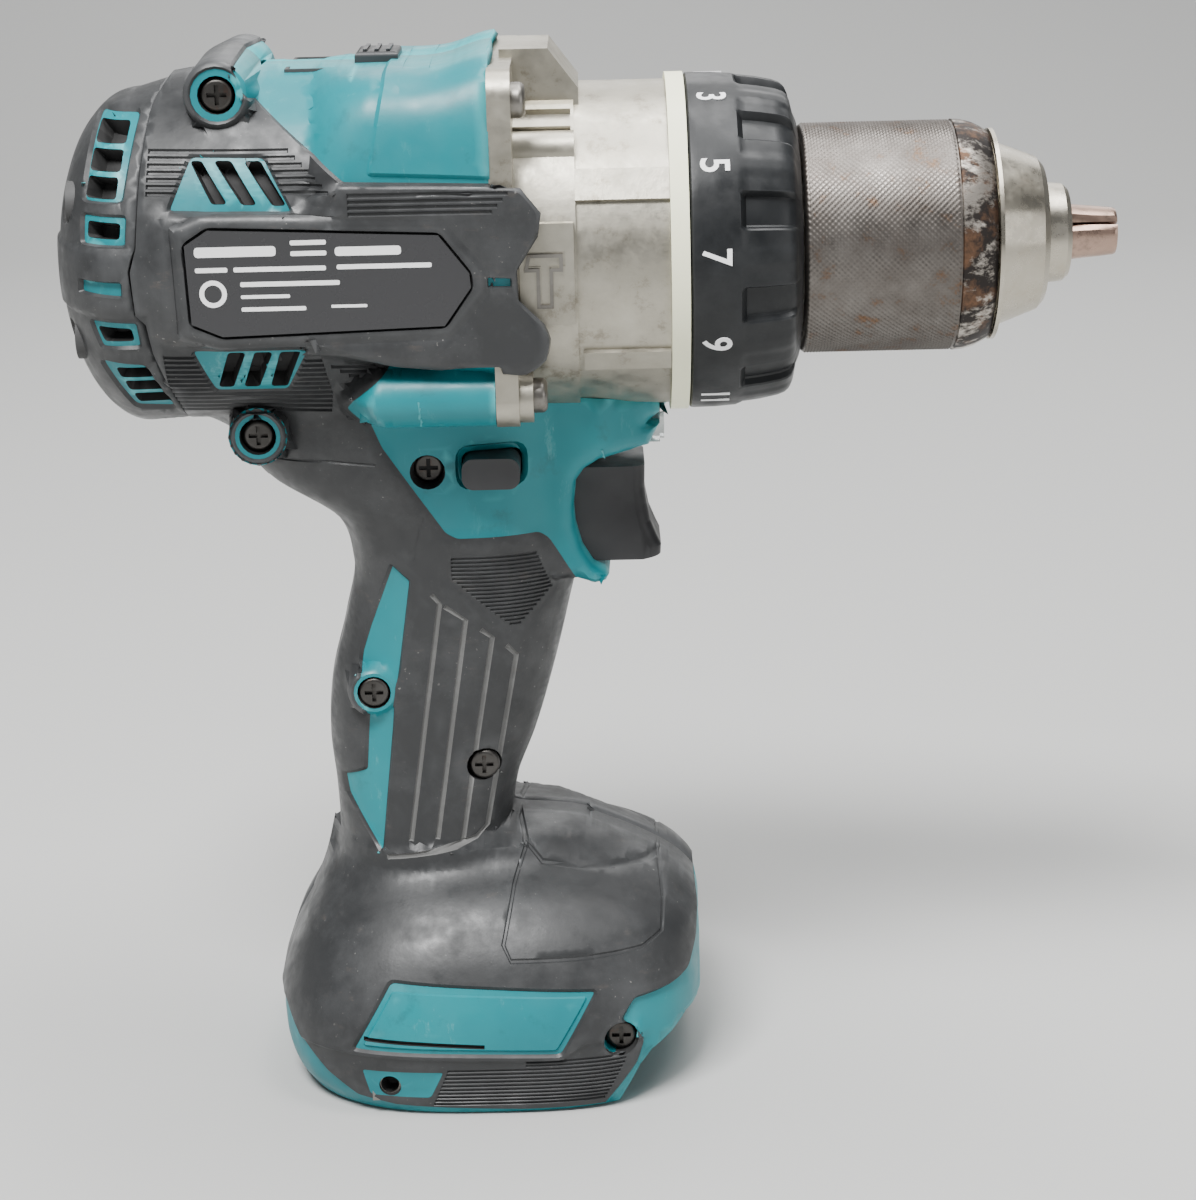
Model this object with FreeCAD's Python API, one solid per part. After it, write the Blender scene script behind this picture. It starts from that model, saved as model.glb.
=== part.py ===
"""Cordless hammer driver-drill, bare tool, as an assembly of separate pieces.

Frame: +X points out of the chuck, +Y to the tool's left, +Z up. The origin lies under the
middle of the bounding box, on the plane of the battery foot. All lengths are millimetres.
"""
import FreeCAD
import Part
import math
import os

V = FreeCAD.Vector

# ---- driving dimensions -------------------------------------------------------------------
AXIS_Z = 150.5          # height of the spindle axis above the foot
REAR_X = -93.5          # back of the rear bumper
TIP_X = 93.5            # ends of the closed jaws
SEAM_X = -72.0          # joint between the clamshells and the rear cover
CASE_X = -16.1          # joint between the clamshells and the gear case
FLANGE_X = -12.2        # front face of the gear case's flange
LUG_X = -9.8            # front face of the flange's two lower screw lugs
WALL = 2.3              # housing wall
GAP = 0.3               # clearance between curved faces of different bodies
RUNNING = 0.03          # radial clearance of a shaft in its bearing

BARREL_HALF_W = 32.0    # half width of the barrel
BARREL_TOP = 33.1       # barrel's top above the axis
BARREL_BOTTOM = 29.0    # barrel's bottom below the axis
CAVITY_R = 26.9         # motor and gearbox bay

MODULE = 0.95           # gear tooth module
PRESSURE = math.radians(25.0)
SUN_TEETH = 10
PLANET_TEETH = 17
RING_TEETH = 44
PLANET_ANGLES = (90.0, 210.0, 330.0)
ORBIT_R = MODULE * (SUN_TEETH + PLANET_TEETH) / 2

CHUCK_R = 20.3          # chuck sleeve
JAW_R = 3.3             # jaw rod
JAW_TILT = math.radians(12.0)
JAW_LENGTH = 32.0
GRIP_R = 0.75           # smallest shank that the jaws hold
JAW_OFFSET = 1.2        # jaw centre line's distance from the axis at the tip
COLLAR_R = 29.5         # torque collar
NECK_R = 28.5           # gear case neck

FOOT_HALF_W = 39.0
BAY_HALF_W = 33.5       # battery bay under the foot
BAY_TOP = 9.6

# screws that join the clamshells: x, z, outer face y, inner end y
SHELL_SCREWS = (
    (-61.3, 180.7, -22.0, 10.0),
    (-58.1, 121.3, -17.5, 12.0),
    (-28.9, 114.1, -14.5, 12.0),
    (-40.3, 72.8, -14.5, 12.0),
    (-21.0, 58.3, -13.5, 12.0),
    (2.7, 13.2, -33.0, 12.0),
)
BOSS_R = 3.6
SCREW_R = 1.5
CASE_SCREWS = ((27.0, 28.6), (-27.0, 28.6), (27.2, -21.4), (-27.2, -21.4))
COVER_SCREWS = ((16.0, 11.5), (-16.0, 11.5), (16.0, -11.5), (-16.0, -11.5))  # y, height over axis
COVER_SEAT_X = -86.0    # face under the rear cover's screw heads
HOOK_HOLE = (-39.0, 5.7)  # belt hook screw hole in each side of the foot: x, z
NUT_SPANS = ((-36.9, -34.2), (34.2, 36.9))


# ---- shape helpers ------------------------------------------------------------------------
def cyl(x0, x1, r, y=0.0, z=AXIS_Z):
    """Cylinder along X between x0 and x1."""
    return Part.makeCylinder(r, x1 - x0, V(x0, y, z), V(1, 0, 0))


def tube(x0, x1, outer, inner, y=0.0, z=AXIS_Z):
    return cyl(x0, x1, outer, y, z).cut(cyl(x0 - 1, x1 + 1, inner, y, z))


def cross_rod(x, z, r, y0, y1):
    """Cylinder along Y between y0 and y1."""
    return Part.makeCylinder(r, y1 - y0, V(x, y0, z), V(0, 1, 0))


def box(x0, x1, y0, y1, z0, z1):
    return Part.makeBox(x1 - x0, y1 - y0, z1 - z0, V(x0, y0, z0))


def fuse(shapes):
    whole = shapes[0].fuse(list(shapes[1:])) if len(shapes) > 1 else shapes[0]
    return whole.removeSplitter()


def cut(shape, tools):
    return shape.cut(list(tools))


def group(shapes):
    return Part.makeCompound(list(shapes))


def turn(shape, degrees):
    """Copy of a shape turned about the spindle axis."""
    copy = shape.copy()
    copy.rotate(V(0, 0, AXIS_Z), V(1, 0, 0), degrees)
    return copy


def around(shape, count, first=0.0):
    return [turn(shape, first + 360.0 * k / count) for k in range(count)]


def revolve(profile):
    """Solid of revolution about the spindle axis from (x, radius) corners."""
    points = [V(x, 0, AXIS_Z + r) for x, r in profile]
    face = Part.Face(Part.makePolygon(points + points[:1]))
    return face.revolve(V(0, 0, AXIS_Z), V(1, 0, 0), 360)


def prism(outline, y0, y1):
    """Outline of (x, z) corners, extruded from y0 to y1."""
    points = [V(x, y0, z) for x, z in outline]
    face = Part.Face(Part.makePolygon(points + points[:1]))
    return face.extrude(V(0, y1 - y0, 0))


def oval(half_u, half_v, power, count=24):
    """Corner points of a superellipse in its own plane, (u, v) pairs."""
    pairs = []
    for k in range(count):
        t = 2 * math.pi * (k + 0.5) / count
        u = math.copysign(abs(math.cos(t)) ** (2 / power), math.cos(t)) * half_u
        v = math.copysign(abs(math.sin(t)) ** (2 / power), math.sin(t)) * half_v
        pairs.append((u, v))
    return pairs


def closed_curve(points):
    curve = Part.BSplineCurve()
    curve.interpolate(Points=points, PeriodicFlag=True)
    return Part.Wire(curve.toShape())


def barrel_section(x, half_w, top, bottom, power):
    """Section of the barrel across X; the lower half stays round."""
    upper = [V(x, u * half_w, AXIS_Z + v * top) for u, v in oval(1.0, 1.0, power) if v > 0]
    lower = [V(x, u * half_w, AXIS_Z + v * bottom) for u, v in oval(1.0, 1.0, 2.0) if v < 0]
    return closed_curve(upper + lower)


def level_section(z, back, front, half_w, power, inset=0.0):
    """Section of the handle or foot across Z."""
    middle = (back + front) / 2
    reach = (front - back) / 2 - inset
    points = [V(middle + u, v, z) for u, v in oval(reach, half_w - inset, power)]
    return closed_curve(points)


def loft(wires):
    return Part.makeLoft(wires, True, False)


def coil(radius, wire, pitch, length, start, axis, steps=20, sides=6):
    """Round-wire spring as a faceted helix: sides facets round the wire, steps to each turn."""
    count = int(steps * length / pitch)
    rings = []
    for k in range(count + 1):
        turn_angle = 2 * math.pi * k / steps
        rise = pitch * k / steps
        ring = []
        for m in range(sides):
            t = 2 * math.pi * m / sides
            r = radius + wire * math.cos(t)
            ring.append(V(r * math.cos(turn_angle), r * math.sin(turn_angle), rise + wire * math.sin(t)))
        rings.append(ring)

    def patch(*corners):
        return Part.Face(Part.makePolygon(list(corners) + [corners[0]]))

    faces = []
    for ring in (rings[0], rings[-1]):
        centre = sum(ring[1:], ring[0]) * (1.0 / sides)
        faces += [patch(centre, ring[m], ring[(m + 1) % sides]) for m in range(sides)]
    for low, high in zip(rings, rings[1:]):
        for m in range(sides):
            n = (m + 1) % sides
            faces.append(patch(low[m], low[n], high[n]))
            faces.append(patch(low[m], high[n], high[m]))
    spring = Part.Solid(Part.Shell(faces))
    spring.Placement = FreeCAD.Placement(start, FreeCAD.Rotation(V(0, 0, 1), axis))
    return spring


def pipe(points, radius, bend):
    """Round lead through points, with tangent arcs at the inner ones."""
    edges = []
    last = points[0]
    for before, corner, after in zip(points, points[1:], points[2:]):
        come = (before - corner).normalize()
        leave = (after - corner).normalize()
        half = come.getAngle(leave) / 2
        step = bend / math.tan(half)
        enter = corner + come * step
        out = corner + leave * step
        inner = corner + (come + leave).normalize() * (bend / math.sin(half) - bend)
        edges.append(Part.LineSegment(last, enter).toShape())
        edges.append(Part.Arc(enter, inner, out).toShape())
        last = out
    edges.append(Part.LineSegment(last, points[-1]).toShape())
    path = Part.Wire(edges)
    circle = Part.makeCircle(radius, points[0], points[1] - points[0])
    return path.makePipeShell([Part.Wire(circle)], True, True)


def ball_bearing(x0, x1, outer, bore, balls):
    """Outer race, inner race and balls, with nothing overlapping."""
    third = (outer - bore) / 3
    ball_r = third / 2 - 0.02
    pitch_r = (outer + bore) / 2
    middle = (x0 + x1) / 2
    ball = Part.makeSphere(ball_r, V(middle, 0, AXIS_Z + pitch_r))
    races = [tube(x0, x1, outer, outer - third), tube(x0, x1, bore + third, bore)]
    return group(races + around(ball, balls))


def cap_screw(x, y, z, head_r, head_h, length, direction):
    """Pan head screw with a cross recess; the head's underside is at the given point."""
    head = Part.makeCylinder(head_r, head_h, V(0, 0, 0), V(0, 0, 1))
    rim = [e for e in head.Edges if abs(e.BoundBox.ZMin - head_h) < 1e-6]
    head = head.makeFillet(head_h * 0.45, rim[:1])
    shank = Part.makeCylinder(SCREW_R, length, V(0, 0, -length), V(0, 0, 1))
    slot = Part.makeBox(head_r * 1.2, head_r * 0.26, head_h, V(-head_r * 0.6, -head_r * 0.13, head_h * 0.45))
    other = slot.copy()
    other.rotate(V(0, 0, 0), V(0, 0, 1), 90)
    screw = head.fuse(shank).cut([slot, other])
    screw.Placement = FreeCAD.Placement(V(x, y, z), FreeCAD.Rotation(V(0, 0, 1), direction))
    return screw


# ---- gears --------------------------------------------------------------------------------
def involute(angle):
    return math.tan(angle) - angle


def gear_points(teeth, tip, root, thinning, phase, steps=5):
    """Corner points of an involute tooth ring, as (angle in degrees, radius)."""
    pitch_r = MODULE * teeth / 2
    base_r = pitch_r * math.cos(PRESSURE)
    half_pitch = math.pi / (2 * teeth) - thinning / (2 * pitch_r)
    flank = []
    for k in range(steps):
        r = root + (tip - root) * k / (steps - 1)
        angle = math.acos(min(1.0, base_r / max(r, base_r)))
        flank.append((half_pitch + involute(PRESSURE) - involute(angle), r))
    points = []
    for tooth in range(teeth):
        centre = math.radians(phase) + 2 * math.pi * tooth / teeth
        points += [(centre - half, r) for half, r in flank]
        points += [(centre + half, r) for half, r in reversed(flank)]
    return points


def gear_solid(teeth, tip, root, thinning, phase, x0, x1, y=0.0, z=AXIS_Z):
    corners = [V(x0, y + r * math.cos(a), z + r * math.sin(a))
               for a, r in gear_points(teeth, tip, root, thinning, phase)]
    face = Part.Face(Part.makePolygon(corners + corners[:1]))
    return face.extrude(V(x1 - x0, 0, 0))


ADDENDUM = 0.78 * MODULE
DEDENDUM = 1.12 * MODULE
THINNING = 0.20


def outer_gear(teeth, phase, x0, x1, y=0.0, z=AXIS_Z):
    pitch_r = MODULE * teeth / 2
    return gear_solid(teeth, pitch_r + ADDENDUM, pitch_r - DEDENDUM, THINNING, phase, x0, x1, y, z)


def ring_space(phase, x0, x1):
    """The hollow of the ring gear: spaces are a little wider than the teeth that run in them."""
    pitch_r = MODULE * RING_TEETH / 2
    return gear_solid(RING_TEETH, pitch_r + DEDENDUM, pitch_r - ADDENDUM, -THINNING,
                      phase + 180.0 / RING_TEETH, x0, x1)


def planet_phase(where):
    """Turn of a planet, placed at an angle, that meshes with a sun whose tooth is at zero."""
    return where + 180.0 - (0.5 - SUN_TEETH * where / 360.0) * 360.0 / PLANET_TEETH


def ring_phase():
    where = PLANET_ANGLES[0]
    part_p = PLANET_TEETH * (where - planet_phase(where)) / 360.0
    return where - (part_p - 0.5) * 360.0 / RING_TEETH


def planet(where, x0, x1):
    y = ORBIT_R * math.cos(math.radians(where))
    z = AXIS_Z + ORBIT_R * math.sin(math.radians(where))
    gear = outer_gear(PLANET_TEETH, planet_phase(where), x0, x1, y, z)
    return gear.cut(cyl(x0 - 1, x1 + 1, 2.5 + RUNNING, y, z))


def carrier_pins(x0, x1):
    return around(cyl(x0, x1, 2.5, ORBIT_R, AXIS_Z), 3, PLANET_ANGLES[0])


# ---- housing ------------------------------------------------------------------------------
def barrel():
    stations = (
        (SEAM_X, 30.6, 31.2, 28.9, 2.1),
        (-58.0, BARREL_HALF_W, BARREL_TOP, BARREL_BOTTOM, 2.2),
        (-36.0, BARREL_HALF_W, BARREL_TOP, BARREL_BOTTOM, 2.5),
        (CASE_X, 32.4, 34.0, 29.2, 3.0),
    )
    body = loft([barrel_section(*s) for s in stations])
    top_boss = cross_rod(-61.3, 180.7, 5.0, -26.0, 26.0)
    towers = [cyl(-44.0, CASE_X, 5.4, y, AXIS_Z + dz) for y, dz in CASE_SCREWS]
    band = prism(((-67.8, 140.0), (-19.0, 140.0), (-19.0, 161.0), (-67.8, 161.0)), -32.7, 32.7)
    return fuse([body, top_boss, band] + towers)


HANDLE_LEVELS = (
    # z, back x, front x, half width, power
    (30.0, -50.5, -13.0, 19.5, 2.3),
    (42.0, -48.8, -16.4, 18.4, 2.3),
    (52.0, -49.0, -15.2, 17.4, 2.3),
    (62.0, -49.8, -11.3, 16.9, 2.3),
    (73.0, -48.7, -8.0, 16.9, 2.3),
    (84.0, -45.8, -5.2, 17.3, 2.3),
    (95.0, -44.0, -2.9, 18.2, 2.3),
    (104.0, -47.5, -3.2, 19.0, 2.3),
    (111.0, -58.5, -2.4, 19.6, 2.3),
    (122.0, -66.0, -1.0, 20.0, 2.3),
)
FOOT_LEVELS = (
    (0.0, -57.0, 17.0, 38.2, 3.8),
    (7.0, -60.4, 18.5, FOOT_HALF_W, 4.2),
    (15.0, -60.0, 18.9, 38.7, 4.0),
    (23.0, -57.4, 18.9, 36.4, 3.6),
    (31.0, -53.4, 17.7, 31.5, 3.2),
    (38.0, -50.0, 13.6, 25.5, 2.9),
    (44.5, -47.5, 0.0, 19.0, 2.6),
)
BRIDGE = (
    (-30.0, 128.0), (10.0, 128.0), (13.4, 121.6), (10.9, 119.3), (13.3, 119.3), (10.8, 114.8),
    (1.2, 113.8), (-1.5, 112.0), (-2.9, 110.0), (-3.4, 105.3), (-3.2, 102.1), (-2.1, 97.9),
    (-0.2, 94.5), (1.9, 93.1), (2.9, 92.2), (2.2, 90.9), (-0.1, 90.6), (-3.8, 91.7),
    (-9.0, 92.0), (-30.0, 104.0),
)


def handle(inset=0.0):
    return loft([level_section(*level, inset) for level in HANDLE_LEVELS])


def foot(inset=0.0, floor=0.0):
    levels = [level for level in FOOT_LEVELS if level[0] >= floor]
    return loft([level_section(*level, inset) for level in levels])


def bridge():
    """Block over the trigger, narrower at its front."""
    return fuse([prism(BRIDGE, -10.0, 10.0), prism(BRIDGE, -14.0, 14.0).common(box(-40, 6, -20, 20, 80, 130))])


def boss(x, z):
    return cross_rod(x, z, BOSS_R, -40.0, 40.0)


def housing_body():
    """Both clamshells as one hollow body, before the split."""
    outer = fuse([barrel(), handle(), foot(), bridge()])
    rooms = [
        cyl(SEAM_X - 2, CASE_X + 1, CAVITY_R),
        handle(WALL).common(box(-90, 30, -30, 30, 33.0, 121.0)),
        foot(WALL + 0.4, 7.0).common(box(-90, 30, -50, 50, BAY_TOP + 3.2, 38.0)),
    ]
    bosses = [boss(x, z).common(outer) for x, z, _, _ in SHELL_SCREWS[1:]]
    shell = outer.cut(fuse(rooms)).fuse(bosses)
    openings = [
        cyl(CASE_X, 20.0, 29.6),
        box(CASE_X, FLANGE_X + 0.05, -33.0, 33.0, 123.85, 187.0),
        cyl(SEAM_X - 2, CASE_X + 1, CAVITY_R),
        box(-52.0, 30.0, -BAY_HALF_W, BAY_HALF_W, 4.4, BAY_TOP),
        box(-52.0, 30.0, -29.5, 29.5, -1.0, 5.0),
        box(-48.6, -17.4, -17.8, 17.8, 0.0, 20.0),
        box(-20.0, 3.0, -8.8, 8.8, 93.9, 113.4),
        box(-23.6, -11.9, -30.0, 30.0, 110.9, 117.6),
        box(-36.5, -12.0, -8.9, 8.9, 90.0, 110.8),
        box(-50.5, -30.5, -8.5, 8.5, 181.6, 190.0),
        box(-47.5, -33.5, -5.0, 5.0, 176.0, 183.0),
        box(-41.3, -35.9, -7.5, 7.5, 110.0, 126.0),
        cyl(6.0, 14.0, 3.2, 0.0, 117.2),
        box(-2.0, 7.0, -2.0, 2.0, 116.4, 118.0),
    ]
    for y, dz in CASE_SCREWS:
        openings.append(cyl(-36.0, CASE_X + 1, SCREW_R + 0.1, y, AXIS_Z + dz))
    for x, z, y_head, y_end in SHELL_SCREWS:
        openings.append(cross_rod(x, z, 2.95, -60.0, y_head))
        openings.append(cross_rod(x, z, SCREW_R + 0.1, y_head - 1.0, y_end + 0.5))
    hook_x, hook_z = HOOK_HOLE
    openings.append(cross_rod(hook_x, hook_z, 2.0, -60.0, -34.0))
    openings.append(cross_rod(hook_x, hook_z, 2.0, 34.0, 60.0))
    for y0, y1 in NUT_SPANS:
        openings.append(box(hook_x - 3.22, hook_x + 3.22, y0, y1, hook_z - 3.22, hook_z + 3.22))
    for side in (-1, 1):
        for k in range(3):
            x = -71.0 + 6.4 * k
            low = side * 29.0 - 5.0
            openings.append(box(x, x + 3.0, low, low + 10.0, 163.0, 170.5))
            openings.append(box(x + 6.0, x + 9.0, low, low + 10.0, 130.5, 136.0))
    return cut(shell, openings)


def housing_halves():
    body = housing_body()
    halves = []
    for y0, y1 in ((-60.0, 0.0), (0.0, 60.0)):
        half = body.common(box(-120, 60, y0, y1, -5, 200))
        solids = sorted(half.Solids, key=lambda s: -s.Volume)
        halves.append(solids[0])
    return halves


def housing_screws():
    screws = []
    for x, z, y_head, y_end in SHELL_SCREWS:
        screws.append(cap_screw(x, y_head - 0.05, z, 2.8, 1.7, y_end - y_head, V(0, -1, 0)))
    return group(screws)


def rear_cover():
    outer = revolve((
        (SEAM_X - 0.05, 0.0), (SEAM_X - 0.05, 30.7), (-77.0, 29.5), (-82.0, 27.9), (-86.4, 23.9),
        (-89.4, 17.0), (-91.2, 10.5), (-91.9, 0.0)))
    bumper = revolve((
        (SEAM_X - 0.05, 0.0), (SEAM_X - 0.05, 31.6), (-77.5, 30.5), (-83.2, 28.9), (-87.8, 24.7),
        (-91.0, 17.6), (-93.0, 9.0), (REAR_X, 0.0)))
    bumper = bumper.common(box(-100, SEAM_X, -40, 40, 144.5, 155.7))
    hollow = revolve((
        (SEAM_X + 1, 0.0), (SEAM_X + 1, 28.2), (-77.5, 27.2), (-81.5, 25.9), (-85.0, 22.0),
        (-88.4, 14.0), (-89.4, 0.0)))
    seat = cyl(-90.5, -83.5, 10.0)
    shell = fuse([outer, bumper]).cut(hollow).fuse(seat)
    cuts = [cyl(-88.1, -83.0, 8.02), cyl(-90.2, -87.5, 3.2)]
    for side in (0, 180):
        for angle in (36, 46, 56, -36, -46, -56, 20, -20):
            slot = box(-89.0, -79.0, 14.0, 36.0, AXIS_Z - 1.2, AXIS_Z + 1.2)
            cuts.append(turn(slot, side + angle))
    for y, rise in COVER_SCREWS:
        cuts.append(cyl(-100, SEAM_X, SCREW_R + 0.1, y, AXIS_Z + rise))
        cuts.append(cyl(-100, COVER_SEAT_X, 3.0, y, AXIS_Z + rise))
    return cut(shell, cuts)


def rear_cover_screws():
    screws = []
    for y, rise in COVER_SCREWS:
        screws.append(cap_screw(COVER_SEAT_X, y, AXIS_Z + rise, 2.7, 1.6, 2.6, V(-1, 0, 0)))
    return group(screws)


LABEL = ((-67.0, 157.0), (-63.1, 159.5), (-24.8, 157.9), (-19.8, 151.4), (-19.6, 149.0),
         (-24.2, 142.6), (-61.4, 141.6), (-66.5, 143.8))


def label_plates():
    return group([prism(LABEL, -33.3, -32.72), prism(LABEL, 32.72, 33.3)])


# ---- gear case ----------------------------------------------------------------------------
def rounded_block(x0, x1, half_w, low, high, radius):
    block = box(x0, x1, -half_w, half_w, low, high)
    edges = [e for e in block.Edges if abs(e.Length - (x1 - x0)) < 1e-6]
    return block.makeFillet(radius, edges)


def case_screw_seat(dz):
    """Face under a gear case screw's head: the lower two stand on lugs."""
    return LUG_X if dz < 0 else FLANGE_X


def gear_case():
    flange = rounded_block(CASE_X, FLANGE_X, 32.5, 123.9, 184.6, 5.0)
    barrel_part = cyl(CASE_X, -1.9, 29.3)
    neck = cyl(-2.5, 14.0, NECK_R)
    nose = cyl(13.5, 33.4, 19.5)
    gusset = prism(((-14.4, 178.0), (-14.4, 186.0), (-6.1, 186.0), (-1.0, 179.2), (-1.0, 174.0)), -12.0, 12.0)
    parts = [flange, barrel_part, neck, nose, gusset]
    for side in (-1, 1):
        for angle in (69.0, 59.0, 51.0):
            rib = box(-12.5, -2.4, -0.6, 0.6, AXIS_Z + 20, AXIS_Z + 30.4)
            parts.append(turn(rib, side * (90.0 - angle)))
        round_rib = cyl(-12.5, -1.9, 3.2, 0.0, AXIS_Z + 27.6)
        parts.append(turn(round_rib, side * 45.5))
        pad = box(-1.9, 14.0, -2.8, 2.8, AXIS_Z + 20, AXIS_Z + 29.2)
        parts.append(turn(pad, side * 61.0))
        low_rib = box(-1.0, 13.9, -2.0, 2.0, AXIS_Z + 20, AXIS_Z + 29.3)
        parts.append(turn(low_rib, side * 124.0))
        icon_boss = box(-11.5, -2.3, -8.8, 8.4, AXIS_Z + 20, AXIS_Z + 30.1)
        parts.append(turn(icon_boss, side * 90.0))
        parts.append(cyl(-13.0, LUG_X, 4.6, side * 27.2, AXIS_Z - 21.4))
    case = fuse(parts)
    hollow = [
        cyl(CASE_X - 1, 6.8, 25.1),
        cyl(6.0, 40.0, 13.45),
        box(-17.0, -0.6, -3.4, 3.4, AXIS_Z + 24.0, AXIS_Z + 28.3),
    ]
    hollow += around(cyl(5.0, 16.0, 1.6, 0.0, AXIS_Z + 22.6), 6)
    for y, dz in CASE_SCREWS:
        front = case_screw_seat(dz)
        hollow.append(cyl(CASE_X - 1, front + 1, SCREW_R + 0.1, y, AXIS_Z + dz))
        hollow.append(cyl(front, 5.0, 3.7, y, AXIS_Z + dz))
    for side in (-1, 1):
        y = side * 29.9
        hollow.append(box(-10.2, -3.8, min(y, y + side), max(y, y + side), 151.7, 154.2))
        hollow.append(box(-7.9, -6.1, min(y, y + side), max(y, y + side), 144.5, 151.8))
    keyway = box(17.5, 34.0, -1.8, 1.8, AXIS_Z + 18.7, AXIS_Z + 20.5)
    hollow += around(keyway, 2, 90.0)
    return cut(case, hollow)


def gear_case_screws():
    screws = []
    for y, dz in CASE_SCREWS:
        front = case_screw_seat(dz)
        screws.append(cap_screw(front, y, AXIS_Z + dz, 3.0, 2.4, front + 35.0, V(1, 0, 0)))
    return group(screws)


def gearbox_rear_cover():
    cup = revolve((
        (-40.0, 9.52), (-40.0, 11.5), (-34.5, 11.5), (-34.0, 26.6), (CASE_X - 0.2, 26.6),
        (CASE_X - 0.2, 25.1), (-31.0, 25.1), (-31.0, 6.5), (-34.0, 6.5), (-34.0, 9.52)))
    slot = box(-40.0, -15.0, -3.4, 3.4, AXIS_Z + 24.0, AXIS_Z + 28.3)
    return cup.cut(slot)


def indicator_ring():
    return tube(14.05, 17.2, 29.7, 25.4)


# ---- motor --------------------------------------------------------------------------------
def stator_core():
    ring = tube(-70.0, -45.0, 25.6, 21.2)
    tooth = box(-70.0, -45.0, -2.6, 2.6, AXIS_Z + 13.6, AXIS_Z + 22.0)
    shoe = tube(-70.0, -45.0, 14.6, 13.3).common(box(-71, -44, -6.2, 6.2, AXIS_Z, AXIS_Z + 20))
    return fuse([ring] + around(fuse([tooth, shoe]), 6)).cut(cyl(-71, -44, 13.3))


def stator_windings():
    block = box(-72.4, -42.8, -6.0, 6.0, AXIS_Z + 15.0, AXIS_Z + 20.0)
    core = box(-70.1, -44.9, -2.7, 2.7, AXIS_Z + 14.0, AXIS_Z + 21.0)
    return group(around(block.cut(core), 6))


def sensor_board():
    return tube(-42.0, -40.6, 23.5, 8.0)


def rotor_shaft():
    shaft = cyl(-88.0, -31.0, 2.5)
    pinion = outer_gear(SUN_TEETH, 0.0, -31.0, -21.8)
    return fuse([shaft, pinion])


def magnet():
    return box(-68.5, -46.5, -4.6, 4.6, AXIS_Z + 8.4, AXIS_Z + 10.4)


def rotor_core():
    core = tube(-69.0, -46.0, 12.8, 2.5)
    return cut(core, around(magnet(), 4))


def rotor_magnets():
    return group(around(magnet(), 4))


def fan():
    hub = tube(-82.4, -74.4, 5.5, 2.5)
    disc = tube(-75.8, -74.4, 24.0, 5.0)
    blade = box(-81.6, -75.5, 8.0, 23.6, AXIS_Z - 0.5, AXIS_Z + 0.5)
    return fuse([hub, disc] + around(blade, 15)).cut(cyl(-90, -70, 2.5))


# ---- gearbox ------------------------------------------------------------------------------
def ring_gear_1():
    blank = cyl(-30.9, -21.4, 25.0)
    return blank.cut(ring_space(ring_phase(), -32.0, -20.0))


def ring_gear_2():
    blank = cyl(-12.4, -4.2, 24.6)
    groove = tube(-10.0, -8.3, 26.0, 23.4)
    return blank.cut([ring_space(ring_phase(), -14.0, -3.0), groove])


def carrier_1():
    disc = cyl(-21.2, -18.6, 17.6)
    sun = outer_gear(SUN_TEETH, 0.0, -18.7, -4.2)
    return fuse([disc, sun] + carrier_pins(-30.2, -21.1))


def spindle():
    disc = cyl(-3.8, -0.6, 17.6)
    shaft = cyl(-0.7, 36.5, 8.0)
    end = cyl(36.4, 50.0, 6.35)
    return fuse([disc, shaft, end] + carrier_pins(-12.2, -3.7)).cut(cyl(24.0, 55.0, 2.1))


def shift_yoke():
    bar = box(-36.8, -8.4, -2.8, 2.8, AXIS_Z + 25.3, AXIS_Z + 26.7)
    fork = box(-9.8, -8.5, -2.8, 2.8, AXIS_Z + 23.55, AXIS_Z + 25.4)
    arm = box(-36.8, -34.8, -2.8, 2.8, AXIS_Z + 26.6, AXIS_Z + 31.3)
    return fuse([bar, fork, arm])


def speed_lever():
    """Knob with a thin skirt that covers the slot in the housing."""
    plate = box(-40.4, -31.4, -7.6, 7.6, AXIS_Z + 31.4, AXIS_Z + 32.9)
    knob = box(-39.4, -31.9, -6.0, 6.0, AXIS_Z + 32.8, AXIS_Z + 35.0)
    edges = [e for e in knob.Edges if e.BoundBox.ZMin > AXIS_Z + 34.9]
    knob = knob.makeFillet(0.8, edges)
    ribs = [box(x, x + 0.7, -5.0, 5.0, AXIS_Z + 34.5, AXIS_Z + 35.4) for x in (-38.0, -36.0, -34.0)]
    return fuse([plate, knob] + ribs)


def clutch_pins():
    return group(around(cyl(6.9, 15.0, 1.5, 0.0, AXIS_Z + 22.6), 6))


def lock_ring():
    """Spindle lock: a fixed ring with three rollers in its bore."""
    return tube(0.2, 6.6, 24.9, 12.6)


def ratchet(x0, x1, bore, face_x, step):
    disc = tube(x0, x1, 13.2, bore)
    tooth = box(min(face_x, face_x + step), max(face_x, face_x + step), -0.8, 0.8, AXIS_Z + 8.6, AXIS_Z + 12.9)
    return fuse([disc] + around(tooth, 12)).cut(cyl(x0 - 2, x1 + 2, bore))


def clutch_washer():
    return tube(15.05, 16.2, 24.6, 20.4)


def clutch_spring():
    return coil(22.4, 1.1, 3.2, 7.6, V(17.5, 0, AXIS_Z), V(1, 0, 0))


def clutch_nut():
    ring = tube(26.5, 31.0, 24.8, 19.85)
    key = box(26.5, 31.0, -1.5, 1.5, AXIS_Z + 19.0, AXIS_Z + 20.5)
    return fuse([ring] + around(key, 2, 90.0))


def collar_retainer():
    return tube(33.45, 34.6, 20.6, 8.4)


# ---- chuck --------------------------------------------------------------------------------
def jaw_axis_start():
    """Point on a jaw's centre line in the plane of the tips, for the jaw at angle zero."""
    return V(TIP_X, 0.0, AXIS_Z + JAW_OFFSET)


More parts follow.
